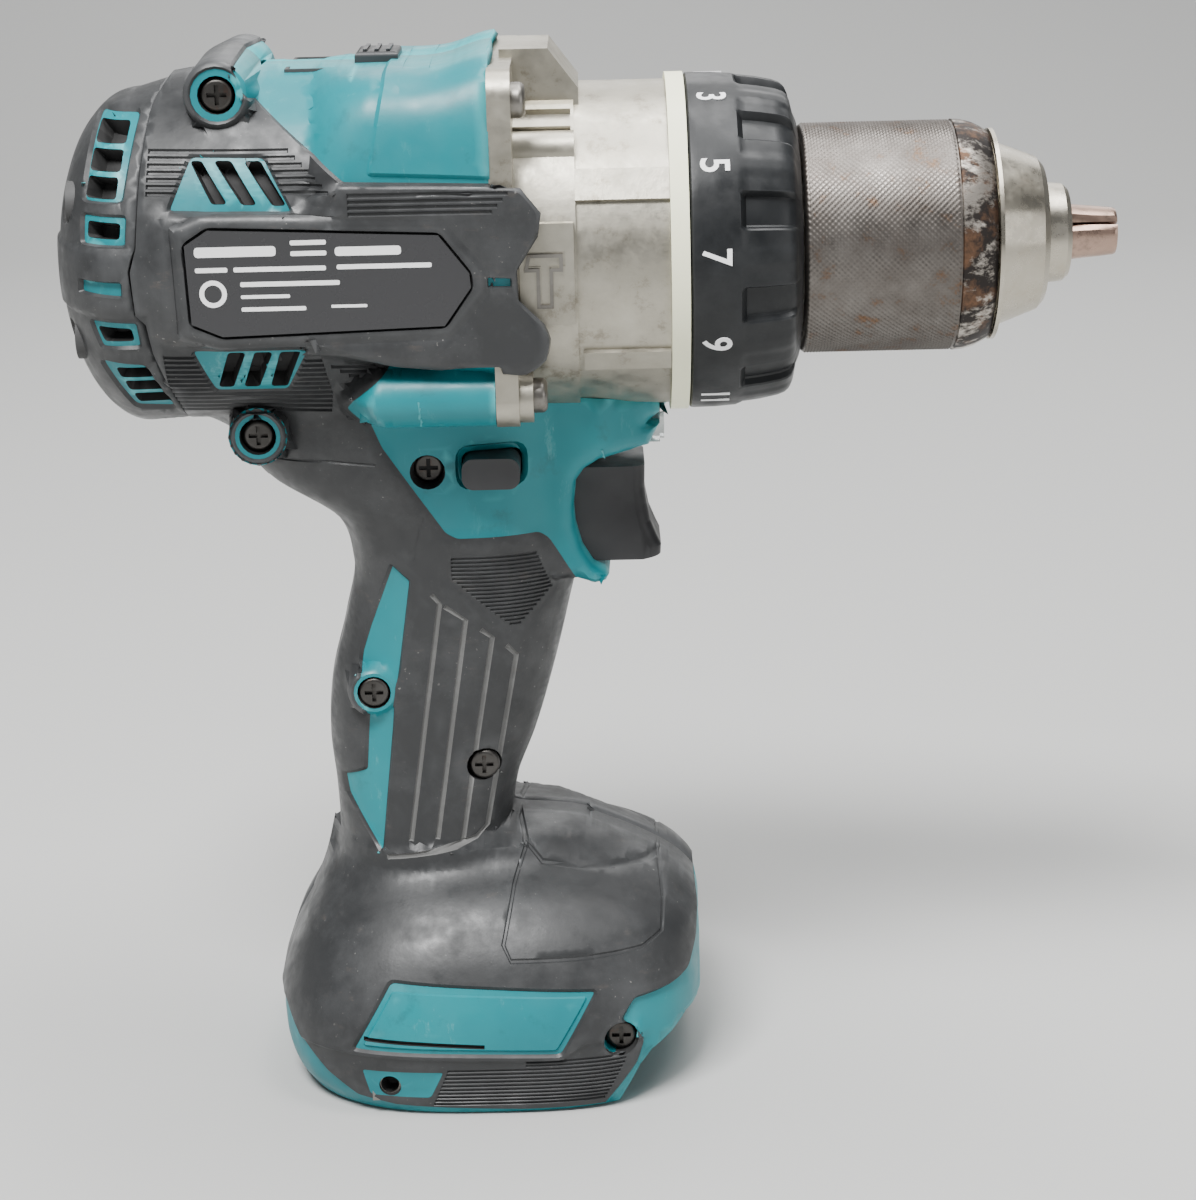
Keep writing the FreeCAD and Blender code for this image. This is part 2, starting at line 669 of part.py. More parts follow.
def jaw_rod(radius, front, rear):
    """Rod along the jaw's centre line, reaching past the tip by front and behind it by rear."""
    along = V(math.cos(JAW_TILT), 0, -math.sin(JAW_TILT))
    start = jaw_axis_start() - along * rear
    return Part.makeCylinder(radius, front + rear, start, along)


def jaw(index):
    rod = jaw_rod(JAW_R, 6.0, JAW_LENGTH)
    reach = 30.0
    wedge_points = [V(50.0, 0, AXIS_Z + 0.3)]
    for angle in (30.0, 150.0):
        a = math.radians(angle)
        wedge_points.append(V(50.0, reach * math.cos(a), AXIS_Z + 0.3 + reach * math.sin(a)))
    wedge = Part.Face(Part.makePolygon(wedge_points + wedge_points[:1])).extrude(V(60, 0, 0))
    flat = box(50.0, 110.0, -20.0, 20.0, AXIS_Z + 0.4, AXIS_Z + 40.0)
    cone = revolve((
        (TIP_X, 0.0), (TIP_X, 4.0), (TIP_X - 0.5, 4.2), (84.5, 5.0), (60.0, 16.3), (58.0, 16.3), (58.0, 0.0)))
    shaped = rod.common(wedge).common(flat).common(cone).cut(cyl(50.0, 110.0, GRIP_R))
    return turn(shaped, 120.0 * index)


def chuck_body():
    body = revolve((
        (38.0, 6.35), (38.0, 16.8), (47.6, 16.8), (47.6, 14.2), (56.4, 14.2), (56.4, 16.8), (70.6, 16.8),
        (79.3, 13.5), (80.4, 12.2), (80.5, 8.9), (84.0, 8.6), (84.9, 7.8), (84.9, 6.9), (50.1, 6.9),
        (50.1, 6.35)))
    band = tube(70.9, 71.6, 18.6, 14.0)
    bores = around(jaw_rod(JAW_R + GAP, 6.0, 62.0), 3)
    return fuse([body, band]).cut(bores)


def chuck_sleeve():
    return revolve((
        (37.2, 17.3), (37.2, 19.4), (38.2, CHUCK_R), (64.0, CHUCK_R), (66.5, 19.6), (70.0, 17.9), (70.5, 17.1),
        (56.6, 17.1), (56.6, 17.3)))


def jaw_nut():
    """Ring turned by the sleeve, running on the outer sides of the jaws."""
    return tube(48.2, 55.8, 17.1, 14.6)


def chuck_screw():
    head = cyl(50.1, 53.6, 4.6)
    shank = cyl(25.0, 50.2, 2.0)
    socket = cyl(51.4, 54.0, 2.0)
    return fuse([head, shank]).cut(socket)


def torque_collar():
    body = revolve((
        (17.4, 25.4), (17.4, COLLAR_R), (26.0, 29.3), (34.2, 27.2), (36.2, 25.6), (36.8, 24.4), (36.8, 21.2),
        (34.9, 21.2), (34.9, 25.2)))
    notch = cyl(26.0, 40.0, 3.2, 0.0, AXIS_Z + 30.6)
    return cut(body, around(notch, 11, 9.0))


# ---- controls and electrics ---------------------------------------------------------------
def trigger():
    outline = (
        (-6.0, 111.6), (9.3, 111.6), (9.2, 107.5), (9.5, 104.4), (10.1, 101.2), (11.3, 98.2), (12.0, 96.7),
        (11.9, 95.0), (8.6, 94.3), (-6.0, 94.3))
    solid = prism(outline, -8.4, 8.4)
    edges = []
    for e in solid.Edges:
        box_e = e.BoundBox
        if box_e.XMin > 8.0 and box_e.YLength < 0.1 and box_e.ZLength > 1.2:
            edges.append(e)
    solid = solid.makeFillet(2.2, edges)
    return solid.cut(cyl(-6.5, -3.7, 2.25, 0.0, 103.0))


def trigger_plunger():
    return cyl(-17.0, -3.8, 2.2, 0.0, 103.0)


def trigger_spring():
    return coil(3.6, 0.4, 1.6, 6.0, V(-13.4, 0, 103.0), V(1, 0, 0))


def switch_body():
    body = box(-34.0, -14.0, -8.4, 8.4, 93.0, 110.4)
    edges = [e for e in body.Edges if abs(e.Length - 20.0) < 1e-6]
    body = body.makeFillet(1.2, edges)
    return body.cut(cyl(-26.0, -13.0, 2.5, 0.0, 103.0))


def direction_lever():
    """Push-through bar with a rounded button at each end."""
    bar = box(-21.4, -14.1, -19.0, 19.0, 112.0, 116.5)
    knobs = [box(-22.8, -12.7, y - 4.2, y + 4.2, 111.5, 117.0) for y in (-18.6, 18.6)]
    rounded = []
    for knob in knobs:
        edges = [e for e in knob.Edges if e.BoundBox.YLength > 8.0]
        rounded.append(knob.makeFillet(2.0, edges))
    return fuse([bar] + rounded)


def led_lens():
    return fuse([cyl(6.6, 12.2, 3.1, 0.0, 117.2), cyl(11.9, 13.0, 2.4, 0.0, 117.2)])


def controller():
    tray = box(-42.0, 0.0, -22.0, 22.0, 20.6, 30.0).cut(box(-40.5, -1.5, -20.5, 20.5, 22.0, 31.0))
    board = box(-40.4, -1.6, -20.4, 20.4, 23.0, 24.6)
    chips = [box(x, x + 5.0, y, y + 6.0, 24.6, 27.2) for x in (-36.0, -26.0, -16.0) for y in (-14.0, 4.0)]
    return fuse([tray, board.fuse(box(-30, -10, -2, 2, 21.9, 23.1))] + chips)


def terminal_block():
    block = box(-48.0, -18.0, -17.2, 17.2, 3.2, 16.0)
    slots = [box(-47.0, -17.0, y - 1.6, y + 1.6, 2.0, 12.0) for y in (-12.0, -4.0, 4.0, 12.0)]
    return cut(block, slots)


def terminal_blades():
    return group([box(-46.9, -24.0, y - 0.4, y + 0.4, 5.0, 12.0) for y in (-12.0, -4.0, 4.0, 12.0)])


def hook_nuts():
    """Square nuts for the belt hook screw, moulded into the foot's side walls."""
    x, z = HOOK_HOLE
    nuts = []
    for y0, y1 in NUT_SPANS:
        nut = box(x - 3.2, x + 3.2, y0, y1, z - 3.2, z + 3.2)
        nuts.append(nut.cut(cross_rod(x, z, 1.65, -60.0, 60.0)))
    return group(nuts)


def wiring():
    """Three motor leads up the handle and two switch leads."""
    leads = []
    for y in (-5.0, 0.0, 5.0):
        leads.append(pipe([V(-33.6, y, 30.1), V(-33.6, y, 66.0), V(-36.6, y, 96.0), V(-38.6, y, 124.5)], 1.1, 12.0))
    for y in (-3.0, 3.0):
        leads.append(pipe([V(-27.0, y, 30.1), V(-27.0, y, 66.0), V(-24.0, y, 92.9)], 0.9, 12.0))
    return group(leads)


# ---- the parts ----------------------------------------------------------------------------
def all_parts():
    right, left = housing_halves()
    parts = {
        "housing_right": right,
        "housing_left": left,
        "housing_screws": housing_screws(),
        "rear_cover": rear_cover(),
        "rear_cover_screws": rear_cover_screws(),
        "label_plates": label_plates(),
        "gear_case": gear_case(),
        "gear_case_screws": gear_case_screws(),
        "gearbox_rear_cover": gearbox_rear_cover(),
        "indicator_ring": indicator_ring(),
        "stator_core": stator_core(),
        "stator_windings": stator_windings(),
        "sensor_board": sensor_board(),
        "motor_bearing_rear": ball_bearing(-88.0, -83.6, 8.0, 2.5 + RUNNING, 7),
        "motor_bearing_front": ball_bearing(-39.8, -34.1, 9.5, 2.5 + RUNNING, 7),
        "rotor_shaft": rotor_shaft(),
        "rotor_core": rotor_core(),
        "rotor_magnets": rotor_magnets(),
        "fan": fan(),
        "ring_gear_1": ring_gear_1(),
        "ring_gear_2": ring_gear_2(),
        "carrier_1": carrier_1(),
        "spindle": spindle(),
        "lock_ring": lock_ring(),
        "spindle_bearing_rear": ball_bearing(7.0, 13.0, 13.4, 8.0 + RUNNING, 12),
        "ratchet_fixed": ratchet(14.0, 17.5, 8.4, 17.4, 0.8),
        "ratchet_rotating": ratchet(19.6, 23.0, 8.0, 19.7, -0.8),
        "spindle_bearing_front": ball_bearing(26.0, 33.0, 13.4, 8.0 + RUNNING, 12),
        "collar_retainer": collar_retainer(),
        "clutch_pins": clutch_pins(),
        "clutch_washer": clutch_washer(),
        "clutch_spring": clutch_spring(),
        "clutch_nut": clutch_nut(),
        "torque_collar": torque_collar(),
        "chuck_body": chuck_body(),
        "chuck_sleeve": chuck_sleeve(),
        "jaw_nut": jaw_nut(),
        "chuck_screw": chuck_screw(),
        "speed_lever": speed_lever(),
        "shift_yoke": shift_yoke(),
        "trigger": trigger(),
        "trigger_plunger": trigger_plunger(),
        "trigger_spring": trigger_spring(),
        "switch_body": switch_body(),
        "direction_lever": direction_lever(),
        "led_lens": led_lens(),
        "controller": controller(),
        "terminal_block": terminal_block(),
        "terminal_blades": terminal_blades(),
        "hook_nuts": hook_nuts(),
        "wiring": wiring(),
    }
    for index in range(3):
        letter = "abc"[index]
        parts["planet_1" + letter] = planet(PLANET_ANGLES[index], -30.2, -22.2)
        parts["planet_2" + letter] = planet(PLANET_ANGLES[index], -12.2, -4.4)
        parts["jaw_" + str(index + 1)] = jaw(index)
    return parts


os.makedirs("parts", exist_ok=True)
for name, shape in all_parts().items():
    shape.exportStep(os.path.join("parts", name + ".step"))
    low = shape.BoundBox
    print("%-24s solids %2d valid %s volume %9.1f  x %7.2f %7.2f  y %7.2f %7.2f  z %7.2f %7.2f" % (
        name, len(shape.Solids), shape.isValid(), shape.Volume,
        low.XMin, low.XMax, low.YMin, low.YMax, low.ZMin, low.ZMax))
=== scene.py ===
"""Looks of a cordless hammer driver-drill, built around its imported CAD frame.

Shapes are worked out in millimetres, x forward, y left, z up, and turned into metres
when a mesh is made. The clamshells and the rear cover are height fields seen from the side:
a base half width f(x, z), and a level above it that outlines of regions and grooves set.
"""
import bpy
import bmesh
import math
import numpy as np
from mathutils import Matrix, Vector, geometry, kdtree


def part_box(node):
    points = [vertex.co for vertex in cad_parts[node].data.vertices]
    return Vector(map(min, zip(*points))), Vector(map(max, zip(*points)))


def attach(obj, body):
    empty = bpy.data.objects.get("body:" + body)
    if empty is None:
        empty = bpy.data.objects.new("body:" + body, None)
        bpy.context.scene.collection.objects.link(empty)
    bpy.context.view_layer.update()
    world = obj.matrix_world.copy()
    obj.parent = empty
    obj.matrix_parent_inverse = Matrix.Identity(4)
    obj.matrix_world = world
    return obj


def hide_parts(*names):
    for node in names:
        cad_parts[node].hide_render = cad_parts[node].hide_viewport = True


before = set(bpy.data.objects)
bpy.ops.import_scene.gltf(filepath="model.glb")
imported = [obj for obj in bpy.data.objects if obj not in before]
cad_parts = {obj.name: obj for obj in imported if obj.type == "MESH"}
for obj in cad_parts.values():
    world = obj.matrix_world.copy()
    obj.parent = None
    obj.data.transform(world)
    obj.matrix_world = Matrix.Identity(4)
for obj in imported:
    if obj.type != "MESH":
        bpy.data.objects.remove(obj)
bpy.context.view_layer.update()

MM = 0.001
SLEEVE_LOW, SLEEVE_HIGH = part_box("chuck_sleeve")
AXIS = (SLEEVE_LOW[2] + SLEEVE_HIGH[2]) / 2 / MM      # height of the spindle axis
RUBBER = 0.9            # the overmould stands this much above the hard shell
SHELL_WALL = 1.2
SQUARENESS = 4          # this column of the tables is the superellipse power


# ---- numbers that vary along a line --------------------------------------------------------
def along(table, t, column):
    """Smooth value of a table's column at t, through its rows."""
    ts = np.array([row[0] for row in table], float)
    vs = np.array([row[column] for row in table], float)
    t = np.clip(np.asarray(t, float), ts[0], ts[-1])
    if column == SQUARENESS:
        return np.interp(t, ts, vs)
    slope = np.gradient(vs, ts)
    i = np.clip(np.searchsorted(ts, t, side="right") - 1, 0, len(ts) - 2)
    h = ts[i + 1] - ts[i]
    s = (t - ts[i]) / h
    start = (2 * s ** 3 - 3 * s ** 2 + 1) * vs[i] + (s ** 3 - 2 * s ** 2 + s) * h * slope[i]
    end = (-2 * s ** 3 + 3 * s ** 2) * vs[i + 1] + (s ** 3 - s ** 2) * h * slope[i + 1]
    return start + end


def step(low, high, value):
    s = np.clip((value - low) / (high - low), 0.0, 1.0)
    return s * s * (3 - 2 * s)


def soft_max(a, b, blend):
    h = np.clip(blend - np.abs(a - b), 0, None) / blend
    return np.maximum(a, b) + h * h * blend / 4


def oval(u, half, power):
    """Half width of a superellipse at u, and a fall-off below zero outside it."""
    u = np.abs(u)
    inside = np.clip(1 - u ** power, 0, None)
    return np.where(u < 1, half * inside ** (1 / power), (1 - u) * half)


# ---- the tool's body -----------------------------------------------------------------------
# x, half width, top, bottom above and below the axis, squareness of the upper half
BARREL = (
    (-78.0, 30.2, 30.7, 28.6, 2.1), (-72.0, 31.0, 31.8, 28.9, 2.1),
    (-58.0, 32.0, 33.5, 29.0, 2.3), (-46.0, 32.0, 33.6, 29.0, 2.4),
    (-35.5, 32.2, 33.6, 29.0, 6.0), (-24.0, 32.4, 34.0, 29.1, 6.0),
    (-17.5, 32.8, 36.0, 29.2, 6.0), (-5.0, 33.0, 36.2, 29.2, 6.0),
)
# z, back, front, half width, squareness
HANDLE = (
    (30.0, -50.5, -13.0, 19.5, 2.3), (42.0, -48.8, -16.4, 18.4, 2.3),
    (52.0, -49.0, -15.2, 17.4, 2.3), (62.0, -49.8, -11.3, 16.9, 2.3),
    (73.0, -48.7, -8.0, 16.9, 2.3), (84.0, -45.8, -5.2, 17.3, 2.3),
    (95.0, -44.0, -2.9, 18.2, 2.3), (104.0, -47.5, -3.2, 19.0, 2.3),
    (111.0, -58.5, -2.4, 19.6, 2.3), (122.0, -66.0, -1.0, 20.0, 2.3),
    (132.0, -70.0, -1.0, 20.0, 2.3),
)
FOOT = (
    (-1.0, -57.0, 17.2, 38.2, 2.6), (0.0, -57.6, 17.4, 38.4, 2.9),
    (3.5, -59.2, 18.0, 39.2, 3.2), (7.0, -60.2, 18.4, 39.4, 3.3),
    (15.0, -60.6, 18.8, 39.0, 3.2), (23.0, -58.0, 18.6, 36.6, 3.1),
    (31.0, -53.8, 17.6, 31.5, 2.7), (36.0, -51.2, 13.2, 26.4, 2.3),
    (40.0, -49.4, 6.2, 20.0, 2.1), (43.5, -48.0, -2.0, 18.0, 2.2),
)
BRIDGE = (
    (-34.0, 132.0), (12.6, 132.0), (12.6, 121.0), (10.2, 119.3), (12.3, 118.9), (10.2, 114.9),
    (1.2, 113.6), (-1.5, 112.0), (-2.9, 110.0), (-3.4, 105.3), (-3.2, 102.1), (-2.1, 97.9),
    (-0.2, 94.7), (1.9, 93.5), (2.7, 92.4), (2.0, 91.2), (-0.1, 90.8), (-3.6, 91.9),
    (-9.0, 92.0), (-34.0, 100.0),
)
LABEL = ((-67.0, 157.0), (-63.1, 159.5), (-24.8, 157.9), (-19.8, 151.4), (-19.6, 149.0),
         (-24.2, 142.6), (-61.4, 141.6), (-66.5, 143.8))
PAD = ((-69.0, 159.5), (-64.0, 161.5), (-24.0, 160.5), (-16.5, 152.0), (-16.5, 148.0),
       (-23.0, 140.2), (-62.0, 139.4), (-68.5, 141.5))
TOWER_Y, TOWER_Z, TOWER_R = 27.2, 129.1, 5.3
ARM_BLOCK = ((-48.0, 138.0), (-33.0, 135.9), (-11.0, 133.7), (-7.6, 136.0), (-6.8, 139.6),
             (-7.8, 142.3), (-11.7, 146.8), (-11.8, 151.7), (-8.2, 157.3), (-7.6, 161.3),
             (-11.0, 165.6), (-41.0, 166.2))
BOSSES = (                # x, z, radius, half width
    (-61.3, 180.7, 5.6, 24.3), (-58.1, 121.3, 5.0, 20.4), (-40.3, 72.8, 4.6, 16.6),
    (2.7, 13.2, 4.6, 35.9),
)
LABEL_FACE = 33.3
LEVER_WINDOW = ((-23.0, 117.25), (-12.45, 117.25), (-12.45, 111.3), (-23.0, 111.3))
LEVEL_ZERO = 0.8        # the base width is the finished size, to the overmould's face
WALL_SLOPE = 30.0       # fall-off of a steep side wall, in half width for each mm outside
BODY_FRONT = -15.9      # the clamshell ends here, except for the arms and the bridge


def distance(points, outline):
    """Signed distance from points (n, 2) to a closed outline, positive inside."""
    corners = np.asarray(outline, float)
    nearest = np.full(len(points), 1e9)
    inside = np.zeros(len(points), bool)
    for a, b in zip(corners, np.roll(corners, -1, axis=0)):
        edge = b - a
        rel = points - a
        t = np.clip(rel @ edge / max(edge @ edge, 1e-12), 0, 1)
        nearest = np.minimum(nearest, np.hypot(*(rel - t[:, None] * edge).T))
        crosses = (a[1] > points[:, 1]) != (b[1] > points[:, 1])
        rise = b[1] - a[1] if b[1] != a[1] else 1e-12
        inside ^= crosses & (points[:, 0] < a[0] + edge[0] * (points[:, 1] - a[1]) / rise)
    return np.where(inside, nearest, -nearest)


def slab(outline, half, rounding, x, z, slope=WALL_SLOPE):
    """Half width of an extruded outline with rounded edges; it falls off at this slope outside."""
    d = distance(np.column_stack([x.ravel(), z.ravel()]), outline).reshape(x.shape)
    near_edge = np.clip(rounding - d, 0, rounding)
    drop = rounding - np.sqrt(np.clip(rounding ** 2 - near_edge ** 2, 0, None))
    return np.where(d > 0, half - drop, half - rounding + d * slope)


def stack(table, x, z):
    """Half width of a body given by level sections."""
    back, front, half, power = [along(table, z, c) for c in (1, 2, 3, 4)]
    y = oval((x - (back + front) / 2) / ((front - back) / 2), half, power)
    outside = np.maximum(np.maximum(table[0][0] - z, z - table[-1][0]), 0)
    return y - outside * 8


def body_width(x, z):
    """Half width of the whole clamshell body at (x, z); below zero is outside."""
    x = np.asarray(x, float)
    z = np.asarray(z, float)
    half, top, bottom, power = [along(BARREL, x, c) for c in (1, 2, 3, 4)]
    rise = z - AXIS
    y = np.where(rise > 0, oval(rise / top, half, power), oval(rise / bottom, half, 2.0))
    y = y - np.clip(x - BODY_FRONT, 0, None) * 60 * ((z < 131.0) | (z > 168.0))
    y = soft_max(y, slab(PAD, 32.4, 1.5, x, z, 1.6), 1.5)
    y = soft_max(y, slab(ARM_BLOCK, 32.3, 1.5, x, z, 3.0), 1.0)
    y = soft_max(y, stack(HANDLE, x, z), 5.0)
    y = soft_max(y, stack(FOOT, x, z), 6.0)
    front_half = 14.0 - 5.5 * step(0.0, 12.0, x)
    y = soft_max(y, slab(BRIDGE, 0.0, 3.0, x, z) + front_half, 2.0)
    u = (z - TOWER_Z) / TOWER_R
    tower = TOWER_Y + TOWER_R * np.sqrt(np.clip(1 - u * u, 0, None))
    tower = tower - np.clip(np.abs(u) - 1, 0, None) * 400
    tower = tower - np.clip(-37.5 - x + np.abs(u) * 2, 0, None) * 1.6
    tower = tower - np.clip(x + 16.0, 0, None) * 60
    y = soft_max(y, np.where(tower > 20, tower, -50), 0.6)
    for bx, bz, br, by in BOSSES:
        reach = np.hypot(x - bx, z - bz)
        edge = np.clip(reach - br + 1.0, 0, 1)
        face, wall = by - 0.8 * edge ** 2, by - 0.8 - (reach - br) * WALL_SLOPE
        y = soft_max(y, np.where(reach < br, face, wall), 0.8)
    return y


def cover_width(x, z):
    """Half width of the rear cover."""
    x = np.asarray(x, float)
    z = np.asarray(z, float)
    u = np.clip((-78.0 - x) / 14.6, 0, 1)
    r = np.where(x < -78.0, 29.3 * np.sqrt(1 - u * u), 29.3 + (x + 78.0) * 0.28)
    bottom = np.where(x < -78.0, r, 29.3 - (x + 78.0) * 0.06)
    rise = z - AXIS
    r = np.where(rise > 0, r, np.minimum(r, bottom)) + 1e-6
    return np.where(x < -92.6, -5.0, oval(rise / r, r, 2.05))


# ---- regions and grooves on the height fields ----------------------------------------------
def circle(x, z, r, count=20):
    return [(x + r * math.cos(2 * math.pi * k / count), z + r * math.sin(2 * math.pi * k / count))
            for k in range(count)]


def rounded(outline, radius, parts=4):
    """Outline with its corners rounded by short curves."""
    result = []
    count = len(outline)
    for k in range(count):
        before, corner, after = (np.array(outline[(k + j) % count], float) for j in (-1, 0, 1))
        room = min(np.linalg.norm(before - corner), np.linalg.norm(after - corner)) * 0.45
        cut = min(radius, room)
        a = corner + (before - corner) / np.linalg.norm(before - corner) * cut
        b = corner + (after - corner) / np.linalg.norm(after - corner) * cut
        for j in range(parts + 1):
            t = j / parts
            result.append(tuple((1 - t) ** 2 * a + 2 * t * (1 - t) * corner + t * t * b))
    return result


def grown(outline, by):
    """Outline moved outwards by a small distance."""
    pts = np.asarray(outline, float)
    forward = np.roll(pts, -1, axis=0) - pts
    forward /= np.linalg.norm(forward, axis=1)[:, None] + 1e-12
    normal = np.column_stack([forward[:, 1], -forward[:, 0]])
    area = np.sum(pts[:, 0] * np.roll(pts[:, 1], -1) - np.roll(pts[:, 0], -1) * pts[:, 1])
    if area < 0:
        normal = -normal
    mitre = normal + np.roll(normal, 1, axis=0)
    mitre /= np.clip(np.sum(mitre * mitre, axis=1) / 2, 0.5, None)[:, None]
    return pts + mitre * by


def strip(path, width):
    """Closed outline of a line of constant width along a path."""
    pts = np.asarray(path, float)
    way = np.gradient(pts, axis=0)
    way /= np.linalg.norm(way, axis=1)[:, None]
    side = np.column_stack([-way[:, 1], way[:, 0]]) * width / 2
    return [tuple(p) for p in np.vstack([pts + side, (pts - side)[::-1]])]


def region(outline, level, slot=None, bevel=0.5, corner=0.8, add=False):
    """A patch that sets the level, or adds to it, with a bevelled edge and its own material."""
    shape = rounded(outline, corner) if corner else list(outline)
    return {"outline": shape, "level": level, "slot": slot, "bevel": bevel, "add": add}


def groove(path, width=0.55, depth=0.4, slot=None):
    return region(strip(path, width), -depth, slot, bevel=0.22, corner=0, add=True)


def hole(x, z, r, depth=4.0):
    # the hole's walls and floor get the dark slot: painted shade
    return region(circle(x, z, r), -depth, "dark", bevel=0.25, corner=0)


def slot_hole(outline):
    # the slot's walls and floor get the dark slot: painted shade standing in for the opening
    return region(outline, -2.6, "dark", bevel=0.3, corner=0.5)


def quad_slots(frame_outline, slots):
    """A teal frame with slots through it."""
    around = region(frame_outline, 0.25, "teal", bevel=0.5, corner=1.0)
    return [around] + [slot_hole(outline) for outline in slots]


def line_rows(top, pitch, count, left, right, **options):
    """Straight grooves along x, one below the other, with ends given by functions of z."""
    heights = [top - pitch * k for k in range(count)]
    return [groove([(left(z), z), ((left(z) + right(z)) / 2, z), (right(z), z)], **options)
            for z in heights]


def body_regions(with_screws):
    """Everything on a clamshell's side, in the order in which it is laid on."""
    upper_boss, rear_boss, grip_boss, foot_boss = [boss[:2] for boss in BOSSES]
    arm = ((-73.0, 161.6), (-49.5, 161.6), (-41.5, 166.4), (-11.0, 165.6), (-7.6, 161.3),
           (-8.2, 157.3), (-11.8, 151.7), (-11.7, 146.8), (-7.8, 142.3), (-6.8, 139.6),
           (-7.6, 136.0), (-11.0, 133.7), (-33.0, 135.8), (-46.0, 139.4), (-73.0, 139.8))
    items = [region(arm, RUBBER + 0.75, bevel=1.1, corner=2.0)]
    items += line_rows(171.6, 1.1, 7, lambda z: -73.2 - 0.25 * (171.6 - z) * 0.2,
                       lambda z: -49.6 + (171.6 - z) * 1.05)
    items += line_rows(164.6, 1.0, 4, lambda z: -39.5, lambda z: -13.0 - (164.6 - z) * 0.9,
                       depth=0.3)
    items += line_rows(137.2, 0.95, 13, lambda z: -72.4, lambda z: -44.5 - abs(z - 129.5) * 0.15)
    items += line_rows(134.9, 0.95, 3, lambda z: -39.0 + (134.9 - z) * 1.5 - 5.0,
                       lambda z: -36.5 - (134.9 - z) * 1.6)
    items += [
        region(PAD, RUBBER + 0.55, bevel=0.7, corner=1.5),
        region(grown(rounded(LABEL, 0.8), 0.35), 0.15, "dark", bevel=0.3, corner=0),
        region(((-16.8, 150.6), (-12.9, 150.4), (-12.9, 148.9), (-16.8, 149.0)),
               0.7, "teal", 0.25, 0.3),
    ]
    # teal panels
    items += [
        region(((-60.5, 195.0), (-57.6, 181.3), (-40.4, 166.6), (-15.0, 165.9), (-15.0, 195.0)),
               0.4, "teal", bevel=0.5, corner=0.6),
        region(((-33.4, 195.0), (-33.4, 182.0), (-36.0, 168.0), (-14.0, 167.0), (-14.0, 195.0)),
               0.95, "teal", bevel=0.7, corner=0.5),
        region(circle(*upper_boss, 4.6), 0.5, "teal", bevel=0.4, corner=0),
    ]
    items += quad_slots(((-66.2, 171.2), (-53.6, 171.0), (-48.9, 161.9), (-70.0, 162.3)), [
        ((-66.0, 170.3), (-64.3, 170.3), (-60.1, 163.6), (-62.4, 163.6)),
        ((-61.9, 170.3), (-59.3, 170.3), (-55.1, 163.4), (-57.3, 163.4)),
        ((-56.8, 170.2), (-54.3, 170.2), (-50.2, 163.2), (-52.2, 163.2))])
    items += quad_slots(((-67.6, 138.2), (-47.4, 138.2), (-52.0, 129.6), (-64.6, 129.6)), [
        ((-61.3, 137.4), (-58.6, 137.4), (-61.5, 130.6), (-63.8, 130.6)),
        ((-56.8, 137.4), (-54.0, 137.4), (-57.0, 130.6), (-59.4, 130.6)),
        ((-52.4, 137.4), (-49.3, 137.4), (-52.2, 130.6), (-54.8, 130.6))])
    lower = ((-42.6, 126.5), (-40.8, 129.2), (-33.9, 135.3), (-15.0, 135.3), (-15.0, 127.0),
             (18.0, 127.0), (18.0, 113.0), (8.0, 112.0), (0.0, 111.0), (-3.0, 106.0), (0.0, 98.0),
             (6.0, 95.0), (5.0, 89.0), (-2.6, 89.6), (-4.6, 94.0), (-8.3, 100.2), (-9.8, 101.4),
             (-24.3, 101.4), (-26.4, 102.6), (-36.9, 118.6), (-38.6, 122.8))
    grip_panel = ((-36.3, 96.4), (-33.0, 93.6), (-36.6, 70.0), (-39.8, 43.4), (-40.4, 42.8),
                  (-46.4, 52.1), (-47.0, 55.6), (-42.6, 57.8), (-41.8, 67.9), (-43.2, 72.8),
                  (-42.6, 79.5), (-40.9, 84.6))
    items += [
        region(lower, 0.6, "teal", bevel=0.6, corner=0.7),
        region(((-23.7, 118.4), (-11.6, 118.4), (-11.6, 110.9), (-23.7, 110.9)),
               -1.0, "teal", 0.6, 2.6),
        region(grip_panel, 0.45, "teal", 0.5, 0.4),
        region(circle(*grip_boss, 3.9), 0.5, "teal", bevel=0.3, corner=0),
    ]
    # grip
    for path in (((-29.1, 91.2), (-27.8, 89.6), (-31.3, 67.0), (-34.6, 45.0)),
                 ((-26.9, 89.0), (-23.3, 86.4), (-26.7, 65.0), (-29.8, 45.2)),
                 ((-20.6, 84.4), (-18.7, 82.8), (-22.0, 64.0), (-25.3, 44.4)),
                 ((-16.2, 80.9), (-14.6, 78.9), (-17.8, 62.0), (-20.9, 46.2), (-22.8, 44.6),
                  (-30.0, 43.2), (-39.0, 41.9))):
        items.append(groove(path, 0.7, 0.3, "grey"))
    patch = ((-25.0, 98.8), (-9.6, 98.4), (-6.6, 90.6), (-12.9, 83.8), (-15.2, 84.1),
             (-26.1, 93.6), (-26.5, 95.2))
    items.append(region(patch, RUBBER - 0.15, bevel=0.3, corner=0.5))
    items += line_rows(97.9, 0.76, 18, lambda z: -25.4 + max(0.0, 94.2 - z) * 1.08,
                       lambda z: (-10.4 + (98.0 - z) * 0.38 if z > 91.0
                                  else -7.8 - (91.0 - z) * 0.95),
                       width=0.36, depth=0.34)
    items.append(groove([(-57.5, 116.2), (-46.0, 116.2), (-38.0, 115.6)], 0.4, 0.2))
    items.append(groove([(-30.0, 105.8), (-31.3, 101.0), (-32.2, 97.6)], 0.35, 0.15))
